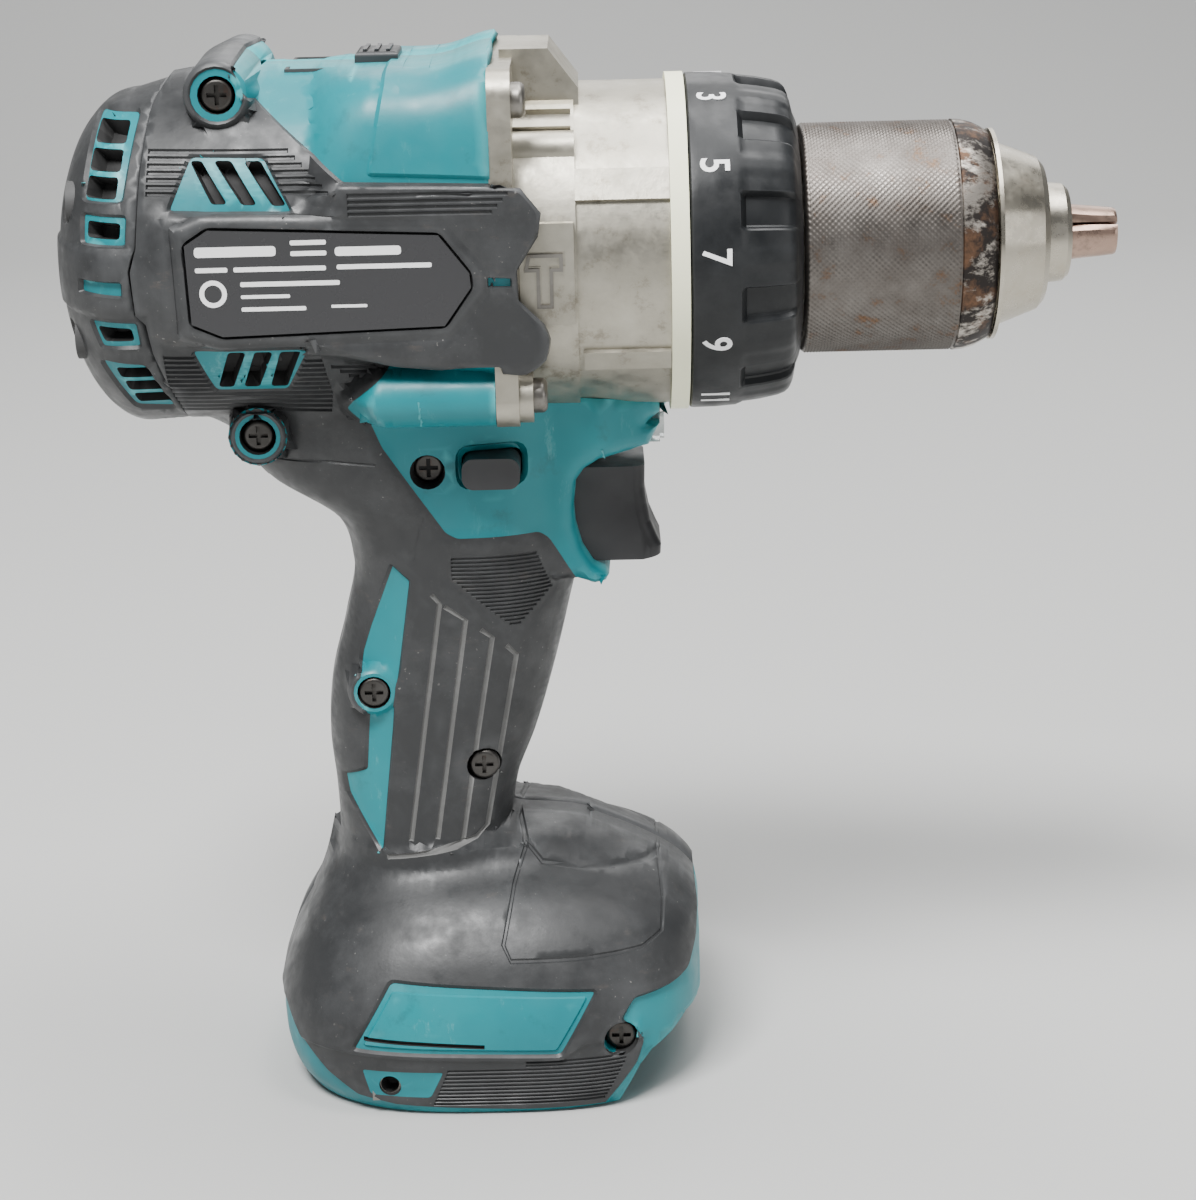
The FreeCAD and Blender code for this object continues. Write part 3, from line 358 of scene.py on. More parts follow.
    # foot
    items += [
        region(((-80.0, 11.6), (-48.4, 11.6), (-8.4, 10.2), (-4.0, 13.0), (6.0, 13.0),
                (30.0, -5.0), (-80.0, -5.0)), RUBBER - 0.35, bevel=0.5, corner=0.6),
        region(((-38.4, 24.6), (-1.4, 22.4), (-8.0, 11.3), (-45.6, 12.4)),
               0.3, "teal", bevel=0.5, corner=1.0),
        region(((-38.0, 22.9), (-3.2, 21.4), (-8.9, 12.3), (-43.6, 13.4)),
               0.35, None, 0.35, 0.6, add=True),
        # the groove gets the dark slot: painted shade in the crease
        groove([(-43.4, 14.6), (-33.0, 14.1), (-21.8, 13.4)], 0.55, 0.7, "dark"),
        region(((-44.2, 8.8), (-29.0, 8.7), (-31.6, 3.3), (-42.8, 3.4)),
               0.35, "teal", bevel=0.4, corner=0.8),
        hole(-39.0, 5.7, 1.9, 3.0),
    ]
    items += line_rows(10.3, 0.75, 12,
                       lambda z: -28.4 - max(0.0, 8.6 - z) * 0.42 + (0.0 if z < 8.9 else 14.0),
                       lambda z: 3.6 - abs(z - 9.4) * 0.55, width=0.36, depth=0.34)
    front = ((40.0, 60.0), (15.0, 40.0), (17.0, 34.0), (17.6, 29.8), (17.0, 24.9), (15.4, 21.4),
             (13.0, 20.6), (5.3, 20.2), (2.8, 16.8), (7.2, 12.4), (5.6, 8.2), (-0.6, 0.1),
             (-0.6, -6.0), (40.0, -6.0))
    rear = ((-70.0, -6.0), (-70.0, 17.0), (-58.4, 15.8), (-55.6, 11.8), (-50.6, 7.0),
            (-45.0, 3.0), (-38.0, 1.6), (-15.0, 0.6), (0.0, 0.5), (0.0, -6.0))
    items += [
        region(front, 0.1, "teal", bevel=0.5, corner=0.8),
        region(rear, 0.1, "teal", 0.4, 0.6),
        groove([(-15.0, 45.0), (-13.6, 43.4), (-10.9, 40.4), (-3.0, 39.0), (10.4, 37.4)],
               0.6, 0.3),
        groove([(10.5, 37.4), (10.9, 33.0), (10.4, 29.4), (6.8, 27.9), (-5.0, 27.6),
                (-16.7, 27.6), (-18.0, 30.0), (-16.0, 38.0), (-13.6, 43.4)], 0.6, 0.25),
    ]
    if with_screws:
        items += [
            hole(*upper_boss, 3.1),
            region(circle(*rear_boss, 4.2), 0.6, "teal", bevel=0.4, corner=0),
            hole(*rear_boss, 3.1),
            hole(-28.9, 114.1, 3.0, 3.0),
            hole(*grip_boss, 2.9, 2.6),
            hole(-21.0, 58.3, 3.0, 2.8),
            hole(*foot_boss, 3.0, 4.2),
        ]
    return items


# y, height over the axis
COVER_SCREWS = ((16.0, 11.5), (-16.0, 11.5), (16.0, -11.5), (-16.0, -11.5))


def cover_regions():
    """Everything on the rear cover's side, in the order in which it is laid on."""
    items = [
        region(((-100.0, 155.7), (-60.0, 155.7), (-60.0, 144.7), (-100.0, 144.7)),
               RUBBER + 0.5, bevel=0.8, corner=1.5),
        region(((-83.4, 177.6), (-75.6, 177.6), (-77.8, 163.5), (-85.2, 163.5)),
               0.35, "teal", 0.5, 1.0),
    ]
    for low in (164.3, 168.6, 172.9):
        shift = (177.2 - low) * 0.15
        items.append(slot_hole(((-82.3 - shift, low + 3.2), (-76.8 - shift, low + 3.2),
                                (-77.2 - shift, low), (-82.8 - shift, low))))
    items += [
        region(((-85.2, 161.6), (-77.2, 161.4), (-77.5, 156.5), (-85.4, 156.6)),
               0.35, "teal", 0.4, 0.7),
        slot_hole(((-84.2, 160.4), (-78.4, 160.2), (-78.6, 157.8), (-84.4, 157.9))),
        region(((-85.8, 150.6), (-78.4, 150.5), (-78.5, 148.0), (-85.9, 148.4)),
               0.6, "teal", 0.35, 0.4),
        region(((-84.8, 143.6), (-76.4, 143.3), (-76.1, 138.9), (-83.2, 138.7)),
               0.35, "teal", 0.4, 0.7),
        slot_hole(((-83.6, 142.4), (-77.6, 142.1), (-77.3, 140.1), (-82.6, 139.9))),
        region(((-84.0, 136.2), (-75.9, 135.4), (-72.4, 125.9), (-79.2, 126.6)),
               0.35, "teal", 0.5, 1.0),
    ]
    for low in (127.5, 130.2, 132.9):
        shift = (135.6 - low) * 0.42
        items.append(slot_hole(((-82.4 + shift, low + 1.7), (-76.8 + shift, low + 1.7),
                                (-76.2 + shift, low), (-81.8 + shift, low))))
    return items


SEAM = ((-71.4, 200.0), (-71.5, 182.3), (-73.3, 178.4), (-74.6, 168.0), (-75.5, 156.3),
        (-76.7, 152.3), (-76.3, 144.9), (-74.7, 143.3), (-74.1, 138.0), (-71.4, 127.3),
        (-70.6, 119.0))
COVER_CLIP = tuple((x - 0.35, z) for x, z in SEAM) + ((-100.0, 110.0), (-100.0, 200.0))
BODY_CLIP = SEAM + ((-74.0, 114.0), (-75.0, 0.0), (2.4, 0.0), (3.9, 3.1), (6.3, 7.4), (8.5, 9.7),
                    (12.4, 11.6), (15.3, 13.6), (40.0, 13.6), (40.0, 121.0), (12.3, 121.0),
                    (12.3, 124.0), (-15.95, 127.0), (-15.95, 200.0))
LEVER_SLOT = (-50.5, -30.5)
LEVER_LINES = ((-50.5, 176.0), (-30.5, 176.0), (-30.5, 190.0), (-50.5, 190.0))
ARM_FRONT = ((-16.2, 165.6), (-10.9, 165.4), (-7.6, 161.2), (-8.2, 157.3), (-11.8, 151.7),
             (-11.7, 146.8), (-7.8, 142.3), (-6.8, 139.6), (-7.6, 136.0), (-11.0, 133.8),
             (-16.2, 134.2))


def in_body(points):
    """Signed distance to the body's own limits: the clip outline plus the arms' front ends."""
    return np.maximum(distance(points, BODY_CLIP), distance(points, ARM_FRONT))


def in_cover(points):
    """Signed distance to the rear cover's own limits."""
    return distance(points, COVER_CLIP)


def resample(outline, spacing):
    """Points along a closed outline, corners kept."""
    result = []
    pts = [np.array(p, float) for p in outline]
    for a, b in zip(pts, pts[1:] + pts[:1]):
        count = max(1, int(np.ceil(np.linalg.norm(b - a) / spacing)))
        result += [a + (b - a) * k / count for k in range(count)]
    return result


def zero_line(field, x0, x1, z0, z1, size):
    """Points and edges of the line where a field is zero, by marching over a triangle grid."""
    xs = np.arange(x0, x1 + size, size)
    zs = np.arange(z0, z1 + size, size)
    gx, gz = np.meshgrid(xs, zs, indexing="ij")
    value = field(gx, gz)
    sign = value > 0
    points = {}
    edges = []

    def crossing(a, b):
        key = (a, b) if a < b else (b, a)
        if key not in points:
            points[key] = len(points)
        return points[key]

    here = sign[:-1, :-1]
    mixed = (here != sign[1:, :-1]) | (here != sign[:-1, 1:]) | (here != sign[1:, 1:])
    for i, j in np.argwhere(mixed):
        for corners in (((i, j), (i + 1, j), (i + 1, j + 1)), ((i, j), (i + 1, j + 1), (i, j + 1))):
            corners = [tuple(int(v) for v in c) for c in corners]
            cut = [crossing(a, b) for a, b in zip(corners, corners[1:] + corners[:1])
                   if sign[a] != sign[b]]
            if len(cut) == 2:
                edges.append(tuple(cut))
    keys = list(points)
    low = np.array([(xs[a[0]], zs[a[1]]) if sign[a] else (xs[b[0]], zs[b[1]]) for a, b in keys])
    high = np.array([(xs[b[0]], zs[b[1]]) if sign[a] else (xs[a[0]], zs[a[1]]) for a, b in keys])
    for _ in range(18):
        middle = (low + high) / 2
        inside = field(middle[:, 0], middle[:, 1]) > 0
        low = np.where(inside[:, None], middle, low)
        high = np.where(inside[:, None], high, middle)
    return low, edges


def mesh_object(name, points, faces, slots=None, face_slots=None, smooth=35.0):
    """Object from points in millimetres."""
    mesh = bpy.data.meshes.new(name)
    mesh.from_pydata([tuple(np.asarray(p, float) * MM) for p in points], [], faces)
    mesh.validate()
    for material in slots or []:
        mesh.materials.append(material)
    if face_slots is not None:
        mesh.polygons.foreach_set("material_index", face_slots)
    mesh.polygons.foreach_set("use_smooth", [True] * len(mesh.polygons))
    mesh.update()
    mesh.set_sharp_from_angle(angle=math.radians(smooth))
    obj = bpy.data.objects.new(name, mesh)
    bpy.context.scene.collection.objects.link(obj)
    return obj


# lines of equal half width keep the turned-away rims smooth; steeper walls need none
CONTOURS = (4.6, 8.6, 13.0, 19.0, 21.5, 24.0, 26.5)
STEEPEST = 14.0
SAMPLE_SLOPE = 5.0      # no free samples where the side is steeper than this
SAMPLE_SPACING = 0.75   # nor closer than this to a point that is already there
MIDDLE = 0.05           # each side stops this far from the middle plane


def gradient(field, points):
    """Slopes of a field along x and z."""
    x, z = points[:, 0], points[:, 1]
    along_x = (field(x + 0.1, z) - field(x - 0.1, z)) / 0.2
    along_z = (field(x, z + 0.1) - field(x, z - 0.1)) / 0.2
    return along_x, along_z


def skin(width, limit, clip_outlines, regions, samples, window, materials, opening=None):
    """Points, faces and face materials of one height-field side."""
    x0, x1, z0, z1 = window
    edge_points, edge_pairs = zero_line(width, x0, x1, z0, z1, 1.0)
    points = [tuple(p) for p in edge_points]
    constraints = list(edge_pairs)
    silhouette = len(constraints)
    if opening:
        left, right, low, high, half = opening
        slot_points, slot_pairs = zero_line(
            lambda x, z: width(x, z) - half, left, right, low, high, 0.8)
        constraints += [(a + len(points), b + len(points)) for a, b in slot_pairs]
        points += [tuple(p) for p in slot_points]

    def add_loop(outline, spacing):
        loop = resample(outline, spacing)
        first = len(points)
        points.extend(tuple(p) for p in loop)
        constraints.extend((first + k, first + (k + 1) % len(loop)) for k in range(len(loop)))

    for height in CONTOURS:
        line, line_pairs = zero_line(lambda x, z: width(x, z) - height, x0, x1, z0, z1, 1.0)
        slope = np.hypot(*gradient(width, line))
        line_pairs = [(a, b) for a, b in line_pairs if max(slope[a], slope[b]) < STEEPEST]
        ends = sorted({k for pair in line_pairs for k in pair})
        place = {k: len(points) + n for n, k in enumerate(ends)}
        constraints += [(place[a], place[b]) for a, b in line_pairs]
        points += [tuple(line[k]) for k in place]
    for outline in clip_outlines:
        add_loop(outline, 1.5)
    for item in regions:
        half = item["bevel"] / 2
        spacing = 2.2 if item["bevel"] < 0.3 else 1.3
        add_loop(grown(item["outline"], half), spacing)
        add_loop(grown(item["outline"], -half), spacing)
    tree = kdtree.KDTree(len(points))
    heights = width(np.array([p[0] for p in points]), np.array([p[1] for p in points]))
    for k, (p, y) in enumerate(zip(points, heights)):
        tree.insert((p[0], max(float(y), 0.0), p[1]), k)
    tree.balance()
    samples = samples[np.hypot(*gradient(width, samples)) < SAMPLE_SLOPE]
    sample_y = width(samples[:, 0], samples[:, 1])
    for (x, z), y in zip(samples, sample_y):
        if y > MIDDLE and tree.find((x, float(y), z))[2] > SAMPLE_SPACING:
            points.append((float(x), float(z)))
    flat, edges, triangles, _, sources, _ = geometry.delaunay_2d_cdt(
        [Vector(p) for p in points], constraints, [], 0, 1e-5)
    flat = np.array([(p.x, p.y) for p in flat])
    on_edge = np.zeros(len(flat), bool)
    for edge, source in zip(edges, sources):
        if any(k < silhouette for k in source):
            on_edge[list(edge)] = True
    triangles = np.array([t for t in triangles if len(t) == 3])
    outside = (width(flat[:, 0], flat[:, 1]) < 0) & ~on_edge
    triangles = triangles[~outside[triangles].any(axis=1)]
    centres = flat[triangles].mean(axis=1)
    centre_width = width(centres[:, 0], centres[:, 1])
    keep = (centre_width > 0) & (limit(centres) > 0)
    if opening:
        over = (centres[:, 0] > left) & (centres[:, 0] < right) & (centres[:, 1] > low)
        keep &= ~(over & (centre_width < half))
    triangles = triangles[keep]
    used = np.unique(triangles)
    remap = np.full(len(flat), -1)
    remap[used] = np.arange(len(used))
    flat = flat[used]
    triangles = remap[triangles]
    centres = centres[keep]
    on_edge = on_edge[used]
    y = np.maximum(width(flat[:, 0], flat[:, 1]), MIDDLE)
    y = np.where(on_edge, 0.0, y)
    solid = np.column_stack([flat[:, 0], y, flat[:, 1]])
    a, b, c = solid[triangles[:, 0]], solid[triangles[:, 1]], solid[triangles[:, 2]]
    face_normal = np.cross(b - a, c - a)
    flip = face_normal[:, 1] < 0
    triangles[flip] = triangles[flip][:, ::-1]
    face_normal[flip] *= -1
    normal = np.zeros_like(solid)
    for k in range(3):
        np.add.at(normal, triangles[:, k], face_normal)
    along_x, along_z = gradient(width, flat[on_edge])
    normal[on_edge] = np.column_stack([-along_x, np.zeros(len(along_x)), -along_z])
    normal /= np.linalg.norm(normal, axis=1)[:, None] + 1e-12
    level = np.full(len(flat), RUBBER)
    names = list(materials)
    face_slots = np.full(len(triangles), names.index("rubber"))
    for item in regions:
        outline = np.array(item["outline"])
        low = outline.min(axis=0) - 2
        high = outline.max(axis=0) + 2
        near = np.all((flat > low) & (flat < high), axis=1)
        half = item["bevel"] / 2
        share = np.zeros(len(flat))
        share[near] = np.clip((distance(flat[near], outline) + half) / (2 * half), 0, 1)
        share = np.round(share, 3)
        if item["add"]:
            level = level + item["level"] * share
        else:
            level = level * (1 - share) + item["level"] * share
        if item["slot"]:
            near = np.all((centres > low) & (centres < high), axis=1)
            inside = np.zeros(len(centres), bool)
            wall = item["level"] < -0.5 or item["add"]
            inside[near] = distance(centres[near], outline) > (-half if wall else half * 0.98)
            face_slots[inside] = names.index(item["slot"])
    moved = solid + normal * (level - LEVEL_ZERO)[:, None]
    moved[on_edge, 1] = MIDDLE
    return moved, triangles, face_slots


def side_object(name, built, mirror, materials):
    """One side as an open sheet facing outwards; thicken() makes it a shell."""
    points, triangles, face_slots = built
    if mirror:
        points = points * (1, -1, 1)
        triangles = triangles[:, ::-1]
    return mesh_object(name, points, [tuple(int(v) for v in t) for t in triangles],
                       list(materials.values()), face_slots)


def band_faces(first, rows, count, closed=True):
    """Quads between rows of count points; closed joins the last row to the first."""
    faces = []
    for row in range(rows if closed else rows - 1):
        a, b = first + row * count, first + (row + 1) % rows * count
        faces += [(a + k, b + k, b + (k + 1) % count, a + (k + 1) % count) for k in range(count)]
    return faces


def lathe(name, profile, count, slots, profile_slots, radius=None, smooth=35.0):
    """Ring about the spindle axis from a closed profile of (x, r), which radius may change."""
    angles = np.linspace(0, 2 * math.pi, count, endpoint=False)
    xs = np.array([p[0] for p in profile], float)
    rs = np.array([p[1] for p in profile], float)
    grid_x, grid_a = np.meshgrid(xs, angles, indexing="ij")
    grid_r = np.meshgrid(rs, angles, indexing="ij")[0]
    if radius:
        grid_r = radius(grid_x, grid_a, grid_r)
    points = np.column_stack([grid_x.ravel(), (-grid_r * np.sin(grid_a)).ravel(),
                              (AXIS + grid_r * np.cos(grid_a)).ravel()])
    face_slots = [slot for slot in profile_slots for _ in range(count)]
    return mesh_object(name, points, band_faces(0, len(xs), count), slots, face_slots, smooth)


def outward(obj):
    """Turn a closed mesh's faces outwards."""
    work = bmesh.new()
    work.from_mesh(obj.data)
    bmesh.ops.recalc_face_normals(work, faces=work.faces)
    work.to_mesh(obj.data)
    work.free()


def cut_away(obj, *cutters):
    """Cut closed pieces out of a closed piece."""
    for cutter in cutters:
        modifier = obj.modifiers.new("cut", "BOOLEAN")
        modifier.operation = "DIFFERENCE"
        modifier.solver = "EXACT"
        modifier.object = cutter
    apply_modifiers(obj)
    for cutter in cutters:
        bpy.data.objects.remove(cutter)


def prism(name, outline, y0, y1, slots, smooth=35.0):
    """Solid from an outline of (x, z), between two values of y."""
    count = len(outline)
    points = [(x, y0, z) for x, z in outline] + [(x, y1, z) for x, z in outline]
    faces = [tuple(range(count)), tuple(range(2 * count - 1, count - 1, -1))]
    faces += [(k, (k + 1) % count, (k + 1) % count + count, k + count) for k in range(count)]
    obj = mesh_object(name, points, faces, slots, smooth=smooth)
    outward(obj)
    return obj


def block(name, x0, x1, y0, y1, z0, z1, slots):
    return prism(name, ((x0, z0), (x1, z0), (x1, z1), (x0, z1)), y0, y1, slots)


def thicken(obj, thickness):
    modifier = obj.modifiers.new("wall", "SOLIDIFY")
    modifier.thickness = thickness * MM
    modifier.offset = -1.0
    modifier.use_rim = True
    apply_modifiers(obj)


def apply_modifiers(obj):
    depsgraph = bpy.context.evaluated_depsgraph_get()
    mesh = bpy.data.meshes.new_from_object(obj.evaluated_get(depsgraph))
    obj.modifiers.clear()
    obj.data = mesh


def creases():
    """Lines that the base surface bends along."""
    lines = [grown(PAD, by) for by in (0.0, -0.7, -1.5)]
    lines += [grown(ARM_BLOCK, by) for by in (0.0, -0.7, -1.5)]
    lines += [grown(BRIDGE, by) for by in (0.0, -0.4, -1.2)]
    for x, z, r, _ in BOSSES:
        lines += [circle(x, z, r, 28), circle(x, z, r - 1.0, 28)]
    low, high = TOWER_Z - TOWER_R, TOWER_Z + TOWER_R
    lines.append([(-38.0, low), (-16.0, low), (-16.0, high), (-38.0, high)])
    return lines


def body_samples():
    """Points spread evenly over the curved sides, close together where the sides turn away."""
    result = []
    for x in np.arange(-77.0, -6.0, 1.6):
        top = float(along(BARREL, x, 2))
        bottom = float(along(BARREL, x, 3))
        for angle in np.arange(-87.0, 88.0, 3.4):
            reach = math.sin(math.radians(angle))
            result.append((x, AXIS + reach * (top if reach > 0 else bottom)))
    for table, pitch, turn in ((HANDLE, 1.6, 5.0), (FOOT, 1.5, 3.0)):
        for z in np.arange(table[0][0] + 0.2, table[-1][0], pitch):
            back, front = float(along(table, z, 1)), float(along(table, z, 2))
            for angle in np.arange(-87.0, 88.0, turn):
                reach = (front - back) / 2 * math.sin(math.radians(angle))
                result.append(((back + front) / 2 + reach, z))
    for along_x, up_z in (((-14.0, 12.0, 1.2), (90.0, 122.5, 1.2)),       # bridge
                          ((-72.0, -14.0, 1.6), (137.0, 166.0, 1.6)),     # arm and label
                          ((-60.0, 18.0, 2.0), (27.0, 45.0, 1.0))):       # neck over the foot
        result += [(x, z) for x in np.arange(*along_x) for z in np.arange(*up_z)]
    for x in np.arange(-44.0, -16.2, 1.5):
        for angle in np.arange(-80.0, 81.0, 12.0):
            result.append((x, TOWER_Z + TOWER_R * math.sin(math.radians(angle))))
    return np.array(result)


def cover_samples():
    result = []
    for k in range(34):
        x = -78.0 - 14.6 * math.sin(math.radians(k * 2.65))
        r = 29.3 * math.cos(math.radians(k * 2.65))
        for angle in np.arange(-87.0, 88.0, 4.0):
            result.append((x, AXIS + r * math.sin(math.radians(angle))))
    for x in np.arange(-77.2, -70.0, 1.5):
        for angle in np.arange(-87.0, 88.0, 3.4):
            result.append((x, AXIS + 30.0 * math.sin(math.radians(angle))))
    return np.array(result)


# ---- materials -----------------------------------------------------------------------------
class Nodes:
    """Small helper around a material's node tree."""

    def __init__(self, name):
        self.material = bpy.data.materials.new(name)
        self.material.use_nodes = True
        self.tree = self.material.node_tree
        self.tree.nodes.clear()
        self.out = self.add("ShaderNodeOutputMaterial")
        self.shader = self.add("ShaderNodeBsdfPrincipled")
        self.link(self.shader.outputs[0], self.out.inputs[0])
        self.place = self.add("ShaderNodeTexCoord").outputs["Object"]

    def add(self, kind, **values):
        node = self.tree.nodes.new(kind)
        for key, value in values.items():
            setattr(node, key, value)
        return node

    def link(self, a, b):
        self.tree.links.new(a, b)

    def noise(self, scale, detail=4.0, rough=0.55, stretch=None):
        node = self.add("ShaderNodeTexNoise")
        node.inputs["Scale"].default_value = scale
        node.inputs["Detail"].default_value = detail
        node.inputs["Roughness"].default_value = rough
        source = self.place
        if stretch:
            mapping = self.add("ShaderNodeMapping")
            mapping.inputs["Scale"].default_value = stretch
            self.link(self.place, mapping.inputs["Vector"])
            source = mapping.outputs[0]
        self.link(source, node.inputs["Vector"])
        return node.outputs["Fac"]

    def ramp(self, source, low, high, start=0.0, end=1.0):
        node = self.add("ShaderNodeMapRange")
        node.inputs["From Min"].default_value = low
        node.inputs["From Max"].default_value = high
        node.inputs["To Min"].default_value = start
        node.inputs["To Max"].default_value = end
        self.link(source, node.inputs["Value"])
        return node.outputs[0]

    def blend(self, factor, a, b):
        node = self.add("ShaderNodeMix", data_type="RGBA")
        self.link(factor, node.inputs["Factor"])
        for value, socket in ((a, node.inputs["A"]), (b, node.inputs["B"])):
            if isinstance(value, tuple):
                socket.default_value = (*value, 1.0)
            else:
                self.link(value, socket)
        return node.outputs["Result"]

    def product(self, a, b):
        node = self.add("ShaderNodeMath", operation="MULTIPLY")
        self.link(a, node.inputs[0])
        self.link(b, node.inputs[1])
        return node.outputs[0]

    def edges(self, low, high):
        """Share that grows on worn outer edges."""
        geo = self.add("ShaderNodeNewGeometry")
        return self.ramp(geo.outputs["Pointiness"], low, high)

    def color(self, socket):
        self.link(socket, self.shader.inputs["Base Color"])

    def roughness(self, socket):
        self.link(socket, self.shader.inputs["Roughness"])

    def bump(self, height, strength, distance_mm):
        node = self.add("ShaderNodeBump")
        node.inputs["Strength"].default_value = strength
        node.inputs["Distance"].default_value = distance_mm * MM
        self.link(height, node.inputs["Height"])
        before = self.shader.inputs["Normal"]
        if before.is_linked:
            self.link(before.links[0].from_socket, node.inputs["Normal"])
        self.link(node.outputs[0], before)

    def fixed(self, **values):
        for key, value in values.items():
            self.shader.inputs[key.replace("_", " ")].default_value = value


def teal_plastic():
    n = Nodes("teal_plastic")
    broad = n.noise(45.0, 3.0)
    fine = n.noise(900.0, 3.0)
    scuff = n.ramp(n.noise(260.0, 8.0, 0.72, (1.0, 1.0, 0.35)), 0.60, 0.74)
    base = n.blend(n.ramp(broad, 0.3, 0.7), (0.0, 0.165, 0.195), (0.002, 0.215, 0.245))
    dirty = n.blend(n.ramp(n.noise(120.0, 6.0, 0.65), 0.60, 0.80), base, (0.01, 0.11, 0.125))
    worn = n.blend(n.product(scuff, n.ramp(broad, 0.4, 0.6)), dirty, (0.09, 0.34, 0.36))
    n.color(n.blend(n.edges(0.53, 0.60), worn, (0.05, 0.36, 0.39)))
    n.roughness(n.ramp(n.noise(160.0, 5.0), 0.3, 0.7, 0.34, 0.52))
    n.bump(fine, 0.25, 0.05)
    n.bump(scuff, 0.2, 0.03)
    n.fixed(Specular_IOR_Level=0.5)
    return n.material


def rubber(name, tone, grain=1.0, rough=0.72):
    n = Nodes(name)
    dust = n.ramp(n.noise(70.0, 8.0, 0.7), 0.45, 0.75)
    speck = n.ramp(n.noise(1500.0, 2.0, 0.5), 0.70, 0.76)
    smear = n.ramp(n.noise(190.0, 7.0, 0.7, (1.0, 1.0, 2.5)), 0.58, 0.75)
    base = n.blend(dust, tone, tuple(min(1.0, c * 1.75 + 0.006) for c in tone))
    brown = n.blend(n.product(smear, dust), base, (0.10, 0.082, 0.068))
    edged = n.blend(n.edges(0.52, 0.60), brown, tuple(c * 2.2 + 0.01 for c in tone))
    n.color(n.blend(n.product(speck, dust), edged, (0.30, 0.29, 0.27)))
    n.roughness(n.ramp(n.noise(240.0, 5.0), 0.3, 0.7, rough - 0.14, rough + 0.1))
    n.bump(n.noise(1300.0, 3.0), 0.30 * grain, 0.06)
    n.bump(n.noise(300.0, 4.0), 0.15, 0.08)
    n.fixed(Specular_IOR_Level=0.45)
    return n.material


def plain_plastic(name, tone, rough=0.45, grain=0.2, shine=0.5):
    n = Nodes(name)
    n.fixed(Specular_IOR_Level=shine)
    patch = n.ramp(n.noise(110.0, 7.0, 0.68), 0.45, 0.75)
    base = n.blend(patch, tone, tuple(c * 1.5 + 0.006 for c in tone))
    n.color(n.blend(n.edges(0.53, 0.62), base, tuple(min(1.0, c * 2.0 + 0.03) for c in tone)))
    n.roughness(n.ramp(n.noise(210.0, 5.0), 0.3, 0.7, rough - 0.1, rough + 0.12))
    n.bump(n.noise(1100.0, 3.0), grain, 0.05)
    return n.material


def floor_paint():
    n = Nodes("floor_paint")
    n.fixed(Base_Color=(0.50, 0.50, 0.49, 1.0), Roughness=0.9)
    return n.material


def metal(name, tone, dark, rough=0.35, grain=0.2, scale=900.0, stain=None, lathe=False):
    n = Nodes(name)
    n.fixed(Metallic=1.0)
    patch = n.ramp(n.noise(85.0, 7.0, 0.65), 0.35, 0.72)
    base = n.blend(patch, tone, dark)
    if stain:
        spots = n.ramp(n.noise(170.0, 9.0, 0.75), 0.56, 0.68)
        base = n.blend(spots, base, stain)
    n.color(base)
    n.roughness(n.ramp(n.noise(230.0, 6.0, 0.7), 0.3, 0.7, rough - 0.1, rough + 0.14))
    if lathe:
        n.bump(n.noise(1600.0, 2.0, 0.6, (1.0, 0.015, 0.015)), 0.35, 0.03)
        n.fixed(Anisotropic=0.5)
    n.bump(n.noise(scale, 4.0, 0.6), grain, 0.08)
    return n.material


def worn_band():
    """Blackened steel, rubbed bright and stained brown in patches."""
    n = Nodes("worn_band")
    n.fixed(Metallic=0.9)
    rub = n.ramp(n.noise(210.0, 9.0, 0.75, (0.55, 1.0, 1.0)), 0.50, 0.60)
    brown = n.ramp(n.noise(120.0, 8.0, 0.7), 0.50, 0.62)
    base = n.blend(brown, (0.035, 0.03, 0.028), (0.16, 0.09, 0.055))
    n.color(n.blend(rub, base, (0.46, 0.42, 0.37)))
    n.roughness(n.ramp(rub, 0.0, 1.0, 0.55, 0.3))
    n.bump(n.noise(900.0, 5.0, 0.7), 0.3, 0.08)
    return n.material


def clear_lens():
    n = Nodes("clear_lens")
    n.color(n.blend(n.ramp(n.noise(300.0), 0.4, 0.6), (0.75, 0.78, 0.78), (0.9, 0.92, 0.9)))
    n.roughness(n.ramp(n.noise(500.0), 0.3, 0.7, 0.08, 0.2))
    n.fixed(IOR=1.49, Transmission_Weight=0.7)
    return n.material


TEAL = teal_plastic()
GRIP = rubber("grip_rubber", (0.026, 0.027, 0.028), 1.0, 0.46)
LIGHT_GREY = rubber("light_grey_rubber", (0.12, 0.12, 0.117), 0.6)
# near-black recess material: painted shade inside holes, vent slots, grooves, screw wells and the
# lever slot
RECESS_SHADE = plain_plastic("painted_recess_shade", (0.012, 0.012, 0.012), 0.7)
BLACK = plain_plastic("black_plastic", (0.010, 0.010, 0.011), 0.42, 0.3, 0.35)
COLLAR = plain_plastic("collar_plastic", (0.010, 0.011, 0.012), 0.4, 0.25, 0.35)
GLOSS = plain_plastic("gloss_black", (0.006, 0.006, 0.007), 0.24, 0.05, 0.35)
CREAM = plain_plastic("cream_plastic", (0.56, 0.50, 0.35), 0.5, 0.15)
WHITE = plain_plastic("white_print", (0.68, 0.68, 0.66), 0.5, 0.1)
CAST = metal("cast_alloy", (0.49, 0.465, 0.395), (0.37, 0.345, 0.285), 0.42, 0.4, 700.0,
             (0.27, 0.245, 0.195))
KNURL = metal("knurled_steel", (0.20, 0.185, 0.17), (0.10, 0.085, 0.075), 0.42, 0.15, 900.0,
              (0.17, 0.10, 0.06))
NOSE = metal("nose_steel", (0.52, 0.485, 0.41), (0.42, 0.385, 0.31), 0.28, 0.08, 900.0,
             (0.46, 0.41, 0.33), True)
JAW = metal("jaw_steel", (0.48, 0.33, 0.26), (0.30, 0.21, 0.17), 0.3, 0.1, 900.0, (0.2, 0.15, 0.12))
STEEL = metal("screw_steel", (0.30, 0.285, 0.26), (0.16, 0.15, 0.135), 0.4, 0.15, 900.0,
              (0.12, 0.09, 0.07))
